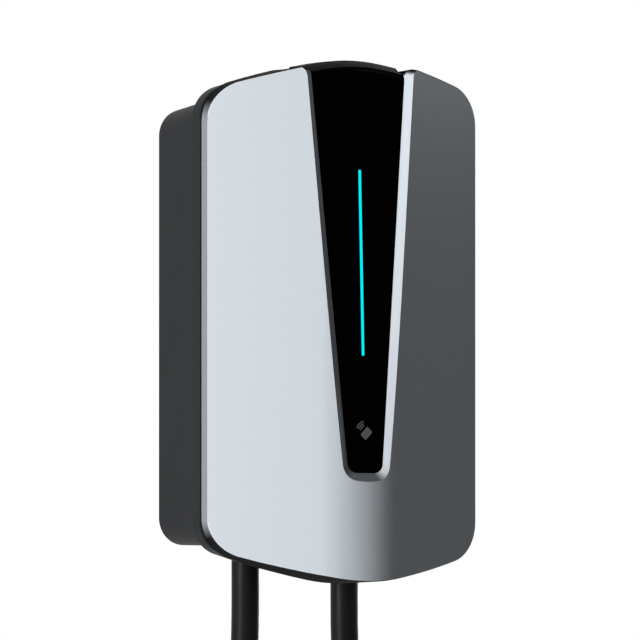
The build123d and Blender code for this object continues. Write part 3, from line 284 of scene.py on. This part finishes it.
def sprayed_silver(tree, colours):
    """Silver lacquer sprayed from the front on moulded black ABS: pale and satin, with flakes drawn at
    0.5 mm, coarser than real ones, so that they show. On the rim, whose normal points forward by less
    than 0.66 to 0.8, the coat is matt and carries painted shade: a darker silver on its sides, and
    near black where the rim faces up or down. On the window's bevel a darker silver is painted as
    shade where the bevel faces right or up."""
    place = node(tree, "ShaderNodeTexCoord", {}).outputs
    flake, cloud = (
        node(
            tree, "ShaderNodeTexNoise",
            {"Vector": place["Object"], "Scale": 1 / (size * MM), "Detail": detail},
        ).outputs["Fac"]
        for size, detail in ((0.5, 1.0), (60, 2.0))
    )
    away, faces = (
        node(
            tree, "ShaderNodeSeparateXYZ",
            {0: node(tree, "ShaderNodeVectorMath", {0: way}, operation="ABSOLUTE").outputs[0]},
        ).outputs
        for way in (place["Object"], place["Normal"])
    )
    slant = node(
        tree, "ShaderNodeVectorMath", {0: place["Normal"], 1: (1.0, 0.0, 1.0)},
        operation="DOT_PRODUCT",
    ).outputs["Value"]
    # Each share runs from low to high as its source runs from start to end
    share = {}
    for name, source, start, end, low, high in [
        ("glint", flake, NOISE_LOW, NOISE_HIGH, 0.0, 1.0),
        ("satin", cloud, NOISE_LOW, NOISE_HIGH, 0.42, 0.46),
        ("up_or_down", faces["Z"], 0.1, 0.5, 0.0, 1.0),
        ("upward", faces["Z"], 0.3, 0.52, 0.0, 1.0),
        ("behind", faces["Y"], 0.66, 0.8, 1.0, 0.0),
        ("aside", slant, 0.42, 0.5, 0.0, 0.6),
        ("outside", away["X"], SHOULDER, SHOULDER + 2 * MM, 0.0, 1.0),
        ("inside", away["X"], SHOULDER, SHOULDER + 2 * MM, 1.0, 0.0),
    ]:
        share[name] = node(
            tree, "ShaderNodeMapRange",
            {"Value": source, "From Min": start, "From Max": end, "To Min": low, "To Max": high},
        ).outputs["Result"]
    # The masks of the rim, of the bevel and of both, where shade is painted
    for name, operation, first, second in [
        ("outer", "MAXIMUM", "up_or_down", "outside"),
        ("rim", "MULTIPLY", "outer", "behind"),
        ("right_or_up", "MAXIMUM", "aside", "upward"),
        ("bevel", "MULTIPLY", "right_or_up", "inside"),
        ("painted_shade", "MAXIMUM", "rim", "bevel"),
    ]:
        share[name] = node(
            tree, "ShaderNodeMath", {0: share[first], 1: share[second]}, operation=operation
        ).outputs[0]
    # Painted shade: a darker silver on the bevel, a darker silver on the rim's sides, and near black
    # where the rim faces up or down
    tone = {
        "base": colours.lacquer_dim,
        "flakes": colours.lacquer,
        "painted_shade": linear("717478"),
        "side": linear("7C8085"),
        "painted_dark_shade": linear("0C0D0E"),
    }
    # Each tone mixes two others by a share; front is the face with painted shade on the bevel, and
    # back is the rim's painted shade
    for name, part, low, high in [
        ("face", "glint", "base", "flakes"),
        ("front", "bevel", "face", "painted_shade"),
        ("back", "up_or_down", "side", "painted_dark_shade"),
        ("lacquer_with_painted_shade", "rim", "front", "back"),
    ]:
        tone[name] = node(
            tree, "ShaderNodeMix", {SHARE: share[part], FIRST: tone[low], SECOND: tone[high]},
            data_type="RGBA",
        ).outputs[MIXED]
    matt = node(
        tree, "ShaderNodeMapRange", {"Value": share["painted_shade"], "To Min": share["satin"], "To Max": 0.95}
    )
    relief = node(
        tree, "ShaderNodeBump", {"Height": flake, "Strength": RELIEF, "Distance": 0.01 * MM}
    )
    return node(
        tree, "ShaderNodeBsdfPrincipled",
        {
            "Base Color": tone["lacquer_with_painted_shade"],
            "Roughness": matt.outputs["Result"],
            "Specular IOR Level": 0.08,
            "Normal": relief.outputs["Normal"],
        },
    )


def grained(tree, tones, rough, grain, more, cloud=None, detail=2.0, stretch=(1, 1, 1), depth=0):
    """A surface in two close tones. The sizes of its grain and of the cloud that parts the tones,
    and the grain's depth, are in millimetres, and without a cloud the grain parts the tones. The
    grain moves the roughness between two values, and more holds the shader's other inputs."""
    place = node(tree, "ShaderNodeTexCoord", {}).outputs["Object"]
    drawn = node(tree, "ShaderNodeMapping", {"Vector": place, "Scale": stretch}).outputs["Vector"]
    noise = {
        size: node(
            tree, "ShaderNodeTexNoise",
            {"Vector": drawn, "Scale": 1 / (size * MM), "Detail": detail},
        ).outputs["Fac"]
        for size in sorted({grain, cloud or grain})
    }
    colour = node(
        tree, "ShaderNodeMix", {SHARE: noise[cloud or grain], FIRST: tones[0], SECOND: tones[1]},
        data_type="RGBA",
    )
    gloss = node(
        tree, "ShaderNodeMapRange",
        {
            "Value": noise[grain], "From Min": NOISE_LOW, "From Max": NOISE_HIGH,
            "To Min": rough[0], "To Max": rough[1],
        },
    )
    inputs = {"Base Color": colour.outputs[MIXED], "Roughness": gloss.outputs["Result"], **more}
    if depth:
        relief = node(
            tree, "ShaderNodeBump",
            {"Height": noise[grain], "Strength": RELIEF, "Distance": depth * MM},
        )
        inputs["Normal"] = relief.outputs["Normal"]
    return node(tree, "ShaderNodeBsdfPrincipled", inputs)


def polished_acrylic(tree, colours):
    """Black acrylic with a polished, anti-reflection coated face: deep black seen face on, with a
    mirror only at a slant, and a trace of unevenness in its gloss."""
    tones = linear("000000"), linear("020202")
    return grained(tree, tones, (0.06, 0.1), 40, {"IOR": 1.04})


def lit_diffuser(tree, colours):
    """Opal acrylic bar with lit chips behind it: an even cyan glow, a little weaker in places."""
    place = node(tree, "ShaderNodeTexCoord", {}).outputs["Object"]
    cloud = node(
        tree, "ShaderNodeTexNoise", {"Vector": place, "Scale": 1 / (5 * MM), "Detail": 2.0}
    ).outputs["Fac"]
    body, glow = (
        node(
            tree, "ShaderNodeMix", {SHARE: cloud, FIRST: low, SECOND: high}, data_type="RGBA"
        ).outputs[MIXED]
        for low, high in (
            (linear("000A0C"), linear("001014")), (colours.line_dim, colours.line)
        )
    )
    return node(
        tree, "ShaderNodeBsdfPrincipled",
        {
            "Base Color": body, "Roughness": 0.4, "IOR": 1.1,
            "Emission Color": glow, "Emission Strength": 1.0,
        },
    )


def moulded(low, high, grain, roughness, depth=0.02, gloss=0.05):
    """What builds a moulded plastic: two tones that part in clouds of 45 mm, a spark-eroded grain
    of this size and depth in millimetres, and a satin gloss."""

    def build(tree, colours):
        tones = linear(low), linear(high)
        rough = roughness - 0.04, roughness + 0.04
        more = {"IOR": 1.5, "Specular IOR Level": gloss}
        return grained(tree, tones, rough, grain, more, cloud=45, depth=depth)

    return build


def extruded_sheath(tree, colours):
    """Black polyurethane sheath, extruded: satin, with faint lines 1.2 mm apart down the cable."""
    tones = colours.sheath_dim, colours.sheath
    more = {"IOR": 1.5, "Specular IOR Level": 0.06}
    return grained(
        tree, tones, (0.42, 0.5), 1.2, more, detail=1.0, stretch=(1, 1, 0.05), depth=0.01
    )


def plated(low, high, roughness):
    """What builds a plated metal: bright, with a rolled or drawn grain of 0.4 mm along X."""

    def build(tree, colours):
        tones = linear(low), linear(high)
        rough = roughness - 0.05, roughness + 0.05
        return grained(tree, tones, rough, 0.4, {"Metallic": 1.0}, stretch=(0.08, 1, 1))

    return build


def woven_strap(tree, colours):
    """Woven polyester strap: matt, with a soft light at its edges, in a plain weave. A wave of
    scale s repeats every 2 pi / (20 s), so that a thread is 1.2 mm wide."""
    place = node(tree, "ShaderNodeTexCoord", {}).outputs["Object"]
    warp, weft = (
        node(
            tree, "ShaderNodeTexWave", {"Vector": place, "Scale": 1 / (7.5 * MM)},
            bands_direction=way,
        ).outputs["Fac"]
        for way in "XZ"
    )
    weave = node(tree, "ShaderNodeMath", {0: warp, 1: weft}).outputs[0]
    colour = node(
        tree, "ShaderNodeMix", {SHARE: weave, FIRST: linear("101112"), SECOND: linear("1E2022")},
        data_type="RGBA",
    )
    relief = node(
        tree, "ShaderNodeBump", {"Height": weave, "Strength": RELIEF, "Distance": 0.2 * MM}
    )
    return node(
        tree, "ShaderNodeBsdfPrincipled",
        {
            "Base Color": colour.outputs[MIXED], "Roughness": 0.8, "Sheen Weight": 0.3,
            "Normal": relief.outputs["Normal"],
        },
    )


def core_colours(tree, colours):
    """Extruded insulation, satin: brown, black, grey, blue and green across the five cores of the
    supply cable's end. A core further left is brown, and one further right is green."""
    place = node(tree, "ShaderNodeTexCoord", {}).outputs["Object"]
    parts = node(tree, "ShaderNodeSeparateXYZ", {"Vector": place}).outputs
    across = node(
        tree, "ShaderNodeMapRange", {"Value": parts["X"], "From Min": CORES_FROM, "From Max": CORES_TO}
    )
    ramp = node(tree, "ShaderNodeValToRGB", {"Fac": across.outputs["Result"]})
    ramp.color_ramp.interpolation = "CONSTANT"
    steps = ramp.color_ramp.elements
    steps[1].position = 0.2
    for position in (0.4, 0.6, 0.8):
        steps.new(position)
    for step, code in zip(steps, ("4A2C18", "141414", "7A7C7E", "1C4F9C", "3E8F3A")):
        step.color = linear(code)
    return node(
        tree, "ShaderNodeBsdfPrincipled",
        {"Base Color": ramp.outputs["Color"], "Roughness": 0.45, "IOR": 1.53},
    )


def seen_ray(tree):
    """1 for a ray that shows what it meets: from the camera, off a mirror or through glass."""
    path = node(tree, "ShaderNodeLightPath", {}).outputs
    seen = path["Is Camera Ray"]
    for kind in ("Is Glossy Ray", "Is Transmission Ray"):
        seen = node(
            tree, "ShaderNodeMath", {0: seen, 1: path[kind]}, operation="MAXIMUM"
        ).outputs[0]
    return seen


def rolled_paint(tree, colours):
    """White wall paint, rolled: matt, with clouds of 0.4 m in its gloss. It shows pale where it is
    seen, as the surroundings do, and keeps the object's shadow."""
    place = node(tree, "ShaderNodeTexCoord", {}).outputs["Object"]
    cloud = node(tree, "ShaderNodeTexNoise", {"Vector": place, "Scale": 1 / 0.4, "Detail": 2.0})
    rough = node(
        tree, "ShaderNodeMapRange",
        {
            "Value": cloud.outputs["Fac"], "From Min": NOISE_LOW, "From Max": NOISE_HIGH,
            "To Min": 0.78, "To Max": 0.82,
        },
    )
    glow = node(tree, "ShaderNodeMapRange", {"Value": seen_ray(tree), "To Max": FLOOR_GLOW})
    return node(
        tree, "ShaderNodeBsdfPrincipled",
        {
            "Base Color": colours.floor, "Roughness": rough.outputs["Result"],
            "Specular IOR Level": 0.0, "Emission Color": WHITE,
            "Emission Strength": glow.outputs["Result"],
        },
    )


# Each finish by its material's name: what builds it, and the nodes that wear it
FINISHES = {
    "silver_lacquer_on_abs": (sprayed_silver, ["front_cover"]),
    "polished_black_acrylic": (polished_acrylic, ["display_panel"]),
    "lit_opal_acrylic": (lit_diffuser, ["light_guide"]),
    # Charcoal with an even grain of 0.9 mm, drawn coarse: plain and quiet beside the lacquer
    "moulded_charcoal_abs": (moulded("1C1D1E", "1F2022", 0.9, 0.5), ["rear_housing"]),
    # A shade darker and finer, so that it parts the cover from the housing
    "moulded_dark_abs": (moulded("1B1C1D", "1E1F20", 0.7, 0.45), ["mid_frame"]),
    # Nearly black and smooth, so that it goes with the panel that it carries
    "moulded_black_abs": (moulded("0C0D0E", "101112", 0.7, 0.4, gloss=0.015), ["panel_carrier"]),
    # Smoother than the housing, so that the glands' flats catch a little light
    "moulded_black_nylon": (
        moulded("17181A", "1C1D1F", 0.6, 0.4), ["gland_bodies", "gland_nuts", "gland_domes"]
    ),
    # A dry black, a little lighter than the glands
    "moulded_black_polyamide": (
        moulded("1A1B1D", "202224", 0.8, 0.5), ["connector_handle", "connector_head"]
    ),
    # Soft and matt, the dullest of the blacks, as rubber is
    "moulded_rubber": (
        moulded("131314", "18191A", 0.5, 0.65),
        ["gland_seals", "seal_gasket", "connector_relief", "connector_grip", "connector_cap"],
    ),
    "extruded_polyurethane": (extruded_sheath, ["supply_cable", "lead_cable", "lead_coil"]),
    # Cool grey, with a rolled grain
    "zinc_plated_steel": (
        plated("A9ADB0", "BDC1C4", 0.35),
        ["wall_bracket", "cover_screws", "frame_screws", "board_screws", "radio_module"],
    ),
    # Warm yellow, with fine tool marks
    "turned_brass": (plated("B8924C", "C9A560", 0.3), ["board_standoffs"]),
    # Pale and slightly warm
    "tinned_copper": (plated("B9B6AE", "CBC9C2", 0.3), ["core_ferrules", "connector_contacts"]),
    "woven_polyester": (woven_strap, ["coil_ties"]),
    "extruded_insulation": (core_colours, ["supply_core_ends", "supply_cores", "lead_cores"]),
    # Deep green under a thin, even lacquer
    "solder_masked_board": (
        moulded("0E3D22", "124A2A", 2.5, 0.35), ["main_board", "light_board", "reader_board"]
    ),
    # Dull black cases that stand out from the green boards
    "moulded_component": (
        moulded("1B1C1F", "232427", 0.6, 0.5),
        ["relays", "power_module", "current_sensor", "capacitors"],
    ),
    # Light grey and satin, so that the wires' places show
    "moulded_grey_nylon": (
        moulded("8A8D90", "95989B", 0.6, 0.45),
        ["supply_terminals", "lead_terminals", "ribbon_cable"],
    ),
    # Flat grey ink, dimmer than white so that it stays quiet on the black panel
    "printed_grey_ink": (moulded("6E6F70", "767778", 0.4, 0.6, depth=0.002), []),
    # Milky, with a soft shine
    "moulded_clear_silicone": (moulded("D8D6C0", "E2E0CC", 0.3, 0.3), ["light_chips"]),
    "painted_floor": (rolled_paint, []),
}


def finish(name):
    """The material of this name, made once."""
    made = bpy.data.materials.get(name)
    if made is None:
        made = bpy.data.materials.new(name)
        made.use_nodes = True
        tree = made.node_tree
        tree.nodes.clear()
        shader = FINISHES[name][0](tree, bpy.context.scene.wallbox_colours)
        node(tree, "ShaderNodeOutputMaterial", {"Surface": shader.outputs[0]})
    return made


def smooth(piece, angle):
    """Shades a piece smoothly between its sharp edges, with its vertices left as they are."""
    piece.data.shade_smooth()
    weld = piece.modifiers.new("Weld", "WELD")
    weld.merge_threshold = 0.001 * MM
    split = piece.modifiers.new("Sharp edges", "EDGE_SPLIT")
    split.split_angle = radians(angle)
    split.use_edge_sharp = False
    even = piece.modifiers.new("Even normals", "WEIGHTED_NORMAL")
    even.keep_sharp = True


def surface(name, grids, ring=False):
    """A mesh of closed forms. Each is a grid of points, rows by columns, whose columns close on
    themselves. Its rows close on themselves too in a ring, and otherwise its first and last row
    are closed by a face each."""
    faces, first = [], 0
    for grid in grids:
        rows, columns = grid.shape[:2]
        here = first + np.arange(rows * columns).reshape(rows, columns)
        here = np.vstack([here, here[:1]]) if ring else here
        across = np.roll(here, -1, axis=1)
        quads = np.stack([here[:-1], across[:-1], across[1:], here[1:]], axis=-1)
        faces += quads.reshape(-1, 4).tolist()
        if not ring:
            faces += [here[0][::-1].tolist(), here[-1].tolist()]
        first += rows * columns
    mesh = bpy.data.meshes.new(name)
    mesh.from_pydata(np.concatenate([g.reshape(-1, 3) for g in grids]).tolist(), [], faces)
    mesh.update()
    piece = bpy.data.objects.new(name, mesh)
    bpy.context.collection.objects.link(piece)
    return piece


def dress(piece, finish_name, stands_for=()):
    """Puts a new piece on the fixed body with its finish and what it replaces."""
    piece.data.materials.append(finish(finish_name))
    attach(piece, "root")
    if stands_for:
        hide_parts(*stands_for)


def grooved(box, top, low, pitch, depth):
    """Rows of a sleeve with grooves round it, inside a CAD piece's box. With s from 0 at its upper
    end to 1 at its lower end and n grooves, each half-width runs straight from top to low, less
    depth * ((1 - cos(2 pi n s)) / 2) ^ 4, and a row is the ellipse of the two half-widths."""
    corner_low, corner_high = np.array(box[0]), np.array(box[1])
    middle = (corner_low + corner_high) / 2
    count = round((corner_high[2] - corner_low[2]) / pitch)
    s = np.linspace(0, 1, GROOVE_POINTS * count + 1)
    groove = depth * ((1 - np.cos(2 * pi * count * s)) / 2) ** 4
    wide = top[0] + (low[0] - top[0]) * s - groove
    deep = top[1] + (low[1] - top[1]) * s - groove
    turn = -np.arange(SLEEVE_POINTS) * 2 * pi / SLEEVE_POINTS
    height = corner_high[2] - (corner_high[2] - corner_low[2]) * s
    return np.stack(
        [
            middle[0] + np.outer(wide, np.cos(turn)),
            middle[1] + np.outer(deep, np.sin(turn)),
            np.outer(height, np.ones(SLEEVE_POINTS)),
        ],
        axis=-1,
    )


def cable(name, points, diameter):
    """A round cable along one smooth spline with these control points."""
    curve = bpy.data.curves.new(name, "CURVE")
    curve.dimensions = "3D"
    spline = curve.splines.new("NURBS")
    spline.points.add(len(points) - 1)
    spline.points.foreach_set("co", np.c_[np.array(points), np.ones(len(points))].ravel())
    spline.order_u = 3
    spline.use_endpoint_u = True
    spline.resolution_u = 5
    curve.bevel_depth = diameter / 2
    curve.bevel_resolution = 6
    curve.use_fill_caps = True
    piece = bpy.data.objects.new(name, curve)
    bpy.context.collection.objects.link(piece)
    return piece


def coil_place(sizes):
    """The radius of the coil's outermost turn, where the lead enters it, and the coil's centre
    across and up: the outermost turn touches the line in which the lead comes."""
    outer = sizes.middle + (sizes.rows - 1) * sizes.diameter / 2
    before, last = (Vector(point) for point in LEAD_ROUTE[-2:])
    heading = (last - before).normalized()
    entry = last + heading * sizes.stub
    flat = hypot(heading.x, heading.z)
    return outer, entry, entry.x + outer * heading.z / flat, entry.z - outer * heading.x / flat


def strap(sizes, middle_angle, front_low, front_high):
    """A strap pulled tight round the coil. Its line is the outline round four turns' middles, rear
    outer, rear inner, front inner and front outer, each point a middle plus a radius times a
    direction that turns from one side's normal to the next. A flat band is carried along it."""
    pitch = sizes.diameter
    outer, entry, centre_x, centre_z = coil_place(sizes)
    inner = outer - (sizes.rows - 1) * pitch
    turns = np.array(
        [(outer, 0), (inner, 0), (inner + front_low * pitch, -pitch),
         (inner + front_high * pitch, -pitch)]
    )
    side = np.roll(turns, -1, axis=0) - turns
    normal = np.unwrap(np.arctan2(-side[:, 0], side[:, 1]))
    start = np.concatenate([[normal[-1] - 2 * pi], normal[:-1]])
    share = np.linspace(0, 1, CORNER_POINTS)
    turning = start[:, None] + (normal - start)[:, None] * share
    ray = np.stack([np.cos(turning), np.sin(turning)], axis=-1).reshape(-1, 1, 2)
    lift = pitch / 2 + STRAP_GAP + STRAP_THICK * np.array([0, 1, 1, 0]).reshape(1, 4, 1)
    path = np.repeat(turns, CORNER_POINTS, axis=0)[:, None, :] + ray * lift
    beside = STRAP_WIDTH / 2 * np.array([-1, -1, 1, 1])
    out, along = cos(middle_angle), sin(middle_angle)
    return np.stack(
        [
            centre_x + path[..., 0] * out - beside * along,
            entry.y + path[..., 1],
            centre_z + path[..., 0] * along + beside * out,
        ],
        axis=-1,
    )


def coil_points(sizes):
    """The route of the coil. The rear layer winds inwards row by row and the front layer outwards.
    With t the turns so far, the angle is a - 2 pi t, and a turn has the radius of its row until
    its last points, over which it moves to the next row. The radius is divided by the share that
    a spline of order 3 keeps of its control polygon's radius."""
    pitch = sizes.diameter
    outer, entry, centre_x, centre_z = coil_place(sizes)
    first = atan2(entry.z - centre_z, entry.x - centre_x)
    steps = sizes.turn_points
    keep = (3 + cos(2 * pi / steps)) / 4
    inward = [outer - k * pitch for k in range(sizes.rows)]
    radii = np.array(inward + inward[::-1])
    t = np.arange(1, (len(radii) - 1) * steps + 1) / steps
    shift = sizes.shift_points / steps
    turn = np.minimum(t.astype(int), len(radii) - 2)
    lead = np.where(turn < sizes.rows, 0.0, shift)
    share = np.clip((t + lead - turn - 1 + shift) / shift, 0.0, 1.0)
    ease = share * share * (3 - 2 * share)
    radius = radii[turn] + ease * (radii[turn + 1] - radii[turn])
    deep = np.where(turn < sizes.rows, 0.0, 1.0)
    deep = np.where(turn == sizes.rows - 1, ease, deep)
    rest = np.arange(1, int(first / (2 * pi / steps)) + 1) * 2 * pi / steps
    angle = np.concatenate([first - 2 * pi * t, first - rest])
    radius = np.concatenate([radius, np.full(len(rest), outer)])
    deep = np.concatenate([deep, np.ones(len(rest))])
    ring = np.stack(
        [
            centre_x + radius / keep * np.cos(angle),
            entry.y - deep * pitch,
            centre_z + radius / keep * np.sin(angle),
        ],
        axis=1,
    )
    drops = [(centre_x + outer, entry.y - pitch, centre_z - drop * sizes.stub) for drop in DROPS]
    return [tuple(entry)] + ring.tolist() + drops


def card_outline(sizes):
    """A card with rounded corners, turned up. Each point is the middle of its corner's arc, plus
    the corner's radius times the point's direction."""
    radius = sizes.card_width / 6
    angle = (np.arange(CARD_POINTS) + 0.5) * 2 * pi / CARD_POINTS
    ray = np.stack([np.cos(angle), np.sin(angle)], axis=1)
    reach = np.array([sizes.card_length / 2 - radius, sizes.card_width / 2 - radius])
    turn = np.array([[cos(sizes.turn), sin(sizes.turn)], [-sin(sizes.turn), cos(sizes.turn)]])
    return (np.sign(ray) * reach + radius * ray) @ turn


def arc_outline(radius, stroke):
    """A band along an arc: out along its outer side and back along its inner side."""
    there = np.linspace(*ARC_SPAN, ARC_POINTS)
    angle = np.concatenate([there, there[::-1]])
    reach = radius + np.repeat([stroke / 2, -stroke / 2], ARC_POINTS)
    return np.stack([reach * np.cos(angle), reach * np.sin(angle)], axis=1) + np.array(ARCS_AT)


class WALLBOX_OT_finishes(bpy.types.Operator):
    """Gives every piece of the model its finish and smooth shading"""

    bl_idname = "wallbox.finishes"
    bl_label = "Finishes"

    def execute(self, context):
        for name, (_, wearers) in FINISHES.items():
            for wearer in wearers:
                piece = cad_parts[wearer]
                piece.data.materials.clear()
                piece.data.materials.append(finish(name))
                smooth(piece, SHARP_COVER if wearer == "front_cover" else SHARP)
        return {"FINISHED"}


class WALLBOX_OT_grip(bpy.types.Operator):
    """Makes the connector's grip and its strain relief, with grooves round them"""

    bl_idname = "wallbox.grip"
    bl_label = "Connector grip"

    def execute(self, context):
        sizes = context.scene.wallbox_grip
        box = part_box("connector_relief")
        low = ((box[1][0] - box[0][0]) / 2,) * 2
        top = (low[0] - RELIEF_TAPER,) * 2
        relief = surface(
            "ribbed_relief", [grooved(box, top, low, sizes.pitch, sizes.depth)[::-1, ::-1]]
        )
        dress(relief, "moulded_rubber", ["connector_relief"])
        smooth(relief, SHARP_RIBS)
        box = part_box("connector_grip")
        half = ((box[1][0] - box[0][0]) / 2, (box[1][1] - box[0][1]) / 2)
        inner = (half[0] - GRIP_WALL, half[1] - GRIP_WALL)
        skin = grooved(box, half, half, sizes.pitch, sizes.depth)
        bore = grooved(box, inner, inner, sizes.pitch, 0.0)[[-1, 0]]
        grip = surface("ribbed_grip", [np.concatenate([skin, bore])], ring=True)
        dress(grip, "moulded_rubber", ["connector_grip"])
        smooth(grip, SHARP_RIBS)
        return {"FINISHED"}


class WALLBOX_OT_cables(bpy.types.Operator):
    """Lays the supply cable and the charging lead with its coil"""

    bl_idname = "wallbox.cables"
    bl_label = "Cables"

    def execute(self, context):
        sizes = context.scene.wallbox_cables
        supply = cable("supply_cable_sheath", SUPPLY_ROUTE, sizes.diameter)
        dress(supply, "extruded_polyurethane", ["supply_cable"])
        lead = cable("lead_sheath", LEAD_ROUTE + coil_points(sizes), sizes.diameter)
        dress(lead, "extruded_polyurethane", ["lead_cable", "lead_coil"])
        return {"FINISHED"}


class WALLBOX_OT_straps(bpy.types.Operator):
    """Pulls the straps round the coil"""

    bl_idname = "wallbox.straps"
    bl_label = "Straps"

    def execute(self, context):
        sizes = context.scene.wallbox_cables
        straps = surface("coil_straps", [strap(sizes, *place) for place in STRAPS], ring=True)
        dress(straps, "woven_polyester", ["coil_ties"])
        smooth(straps, SHARP_RIBS)
        return {"FINISHED"}


class WALLBOX_OT_cords(bpy.types.Operator):
    """Does nothing: it returns at once"""

    bl_idname = "wallbox.cords"
    bl_label = "Cords"

    def execute(self, context):
        return {"FINISHED"}


class WALLBOX_OT_mark(bpy.types.Operator):
    """Prints the reader mark on the panel: a plain card and three arcs beside it"""

    bl_idname = "wallbox.mark"
    bl_label = "Reader mark"

    def execute(self, context):
        sizes = context.scene.wallbox_mark
        outlines = [card_outline(sizes)] + [arc_outline(r, sizes.stroke) for r in ARC_RADII]
        flat = np.stack(outlines) + np.array([sizes.across, sizes.height])
        face = PANEL_FACE - PANEL_SLOPE * flat[..., 1]
        rows = [
            np.stack([flat[..., 0], -face - lift, flat[..., 1]], axis=-1) for lift in (0.0, INK)
        ]
        mark = surface("reader_mark", list(np.stack(rows, axis=1)))
        dress(mark, "printed_grey_ink")
        return {"FINISHED"}


def place_camera(scene):
    """The camera of the photograph, so far away that it sees almost without perspective."""
    turn, rise = CAMERA_TURN, CAMERA_RISE
    back = Vector((-sin(turn) * cos(rise), -cos(turn) * cos(rise), sin(rise)))
    right = Vector((cos(turn), -sin(turn), 0))
    up = back.cross(right)
    middle = CAMERA_AIM + CAMERA_SHIFT[0] * right + CAMERA_SHIFT[1] * up
    data = bpy.data.cameras.new("photo_camera")
    data.sensor_width = FILM
    data.lens = LENS
    data.clip_start = 0.5
    data.clip_end = 600
    camera = bpy.data.objects.new("photo_camera", data)
    axes = Matrix((right, up, back)).transposed().to_4x4()
    camera.matrix_world = Matrix.Translation(middle + back * SEEN_WIDTH * LENS / FILM) @ axes
    bpy.context.collection.objects.link(camera)
    scene.camera = camera


def place_lamp(name, aim, offset, side, power):
    """A square soft lamp at an offset from its aim, facing it and hidden from the camera."""
    data = bpy.data.lights.new(name, "AREA")
    data.energy = power
    data.size = side
    lamp = bpy.data.objects.new(name, data)
    lamp.location = aim + offset
    lamp.rotation_euler = (-offset).to_track_quat("-Z", "Y").to_euler()
    lamp.visible_camera = False
    bpy.context.collection.objects.link(lamp)


def place_floor():
    """A pale square floor below everything."""
    corners = FLOOR_HALF * np.array([(-1, -1), (1, -1), (1, 1), (-1, 1)])
    mesh = bpy.data.meshes.new("studio_floor")
    mesh.from_pydata(np.c_[corners, np.full(4, FLOOR_LEVEL)].tolist(), [], [(0, 1, 2, 3)])
    mesh.materials.append(finish("painted_floor"))
    floor = bpy.data.objects.new("studio_floor", mesh)
    bpy.context.collection.objects.link(floor)


def surroundings(scene, ambient):
    """White to the camera, to mirrors and through glass, and a plain soft light for the rest."""
    world = bpy.data.worlds.new("studio")
    world.use_nodes = True
    tree = world.node_tree
    tree.nodes.clear()
    glow = node(
        tree, "ShaderNodeMapRange", {"Value": seen_ray(tree), "To Min": ambient, "To Max": 1.0}
    )
    sky = node(
        tree, "ShaderNodeBackground", {"Color": WHITE, "Strength": glow.outputs["Result"]}
    )
    node(tree, "ShaderNodeOutputWorld", {"Surface": sky.outputs[0]})
    scene.world = world


class WALLBOX_OT_stage(bpy.types.Operator):
    """Sets the camera, the lamps, the floor and the white surroundings"""

    bl_idname = "wallbox.stage"
    bl_label = "Stage"

    def execute(self, context):
        light = context.scene.wallbox_studio
        key_away = Vector(
            (-KEY_AWAY * sin(light.key_turn), -KEY_AWAY * cos(light.key_turn), KEY_RISE)
        )
        place_lamp("key_light", KEY_AIM, key_away, KEY_SIDE, light.key)
        place_lamp("back_light", *BACK_LAMP, light.back)
        place_lamp("top_light", *TOP_LAMP, light.top)
        place_camera(context.scene)
        place_floor()
        surroundings(context.scene, light.ambient)
        context.scene.view_settings.view_transform = "Standard"
        return {"FINISHED"}


class WALLBOX_PT_panel(bpy.types.Panel):
    """Lists the steps that dress the wallbox"""

    bl_idname = "WALLBOX_PT_panel"
    bl_label = "Wallbox"
    bl_space_type = "VIEW_3D"
    bl_region_type = "UI"
    bl_category = "Wallbox"

    def draw(self, context):
        for step in STEPS:
            self.layout.operator(step.bl_idname)


GROUPS = {
    "wallbox_colours": FinishColours,
    "wallbox_cables": CableSizes,
    "wallbox_mark": MarkSizes,
    "wallbox_grip": GripSizes,
    "wallbox_studio": StudioLight,
}
STEPS = [
    WALLBOX_OT_finishes, WALLBOX_OT_grip, WALLBOX_OT_cables, WALLBOX_OT_straps, WALLBOX_OT_cords,
    WALLBOX_OT_mark, WALLBOX_OT_stage,
]


def register():
    for part in [*GROUPS.values(), *STEPS, WALLBOX_PT_panel]:
        bpy.utils.register_class(part)
    for name, group in GROUPS.items():
        setattr(bpy.types.Scene, name, bpy.props.PointerProperty(type=group))


def unregister():
    for name in GROUPS:
        delattr(bpy.types.Scene, name)
    for part in [WALLBOX_PT_panel, *reversed(STEPS), *reversed(GROUPS.values())]:
        bpy.utils.unregister_class(part)


def main():
    register()
    for step in STEPS:
        area, name = step.bl_idname.split(".")
        getattr(getattr(bpy.ops, area), name)()


if __name__ == "__main__":
    main()
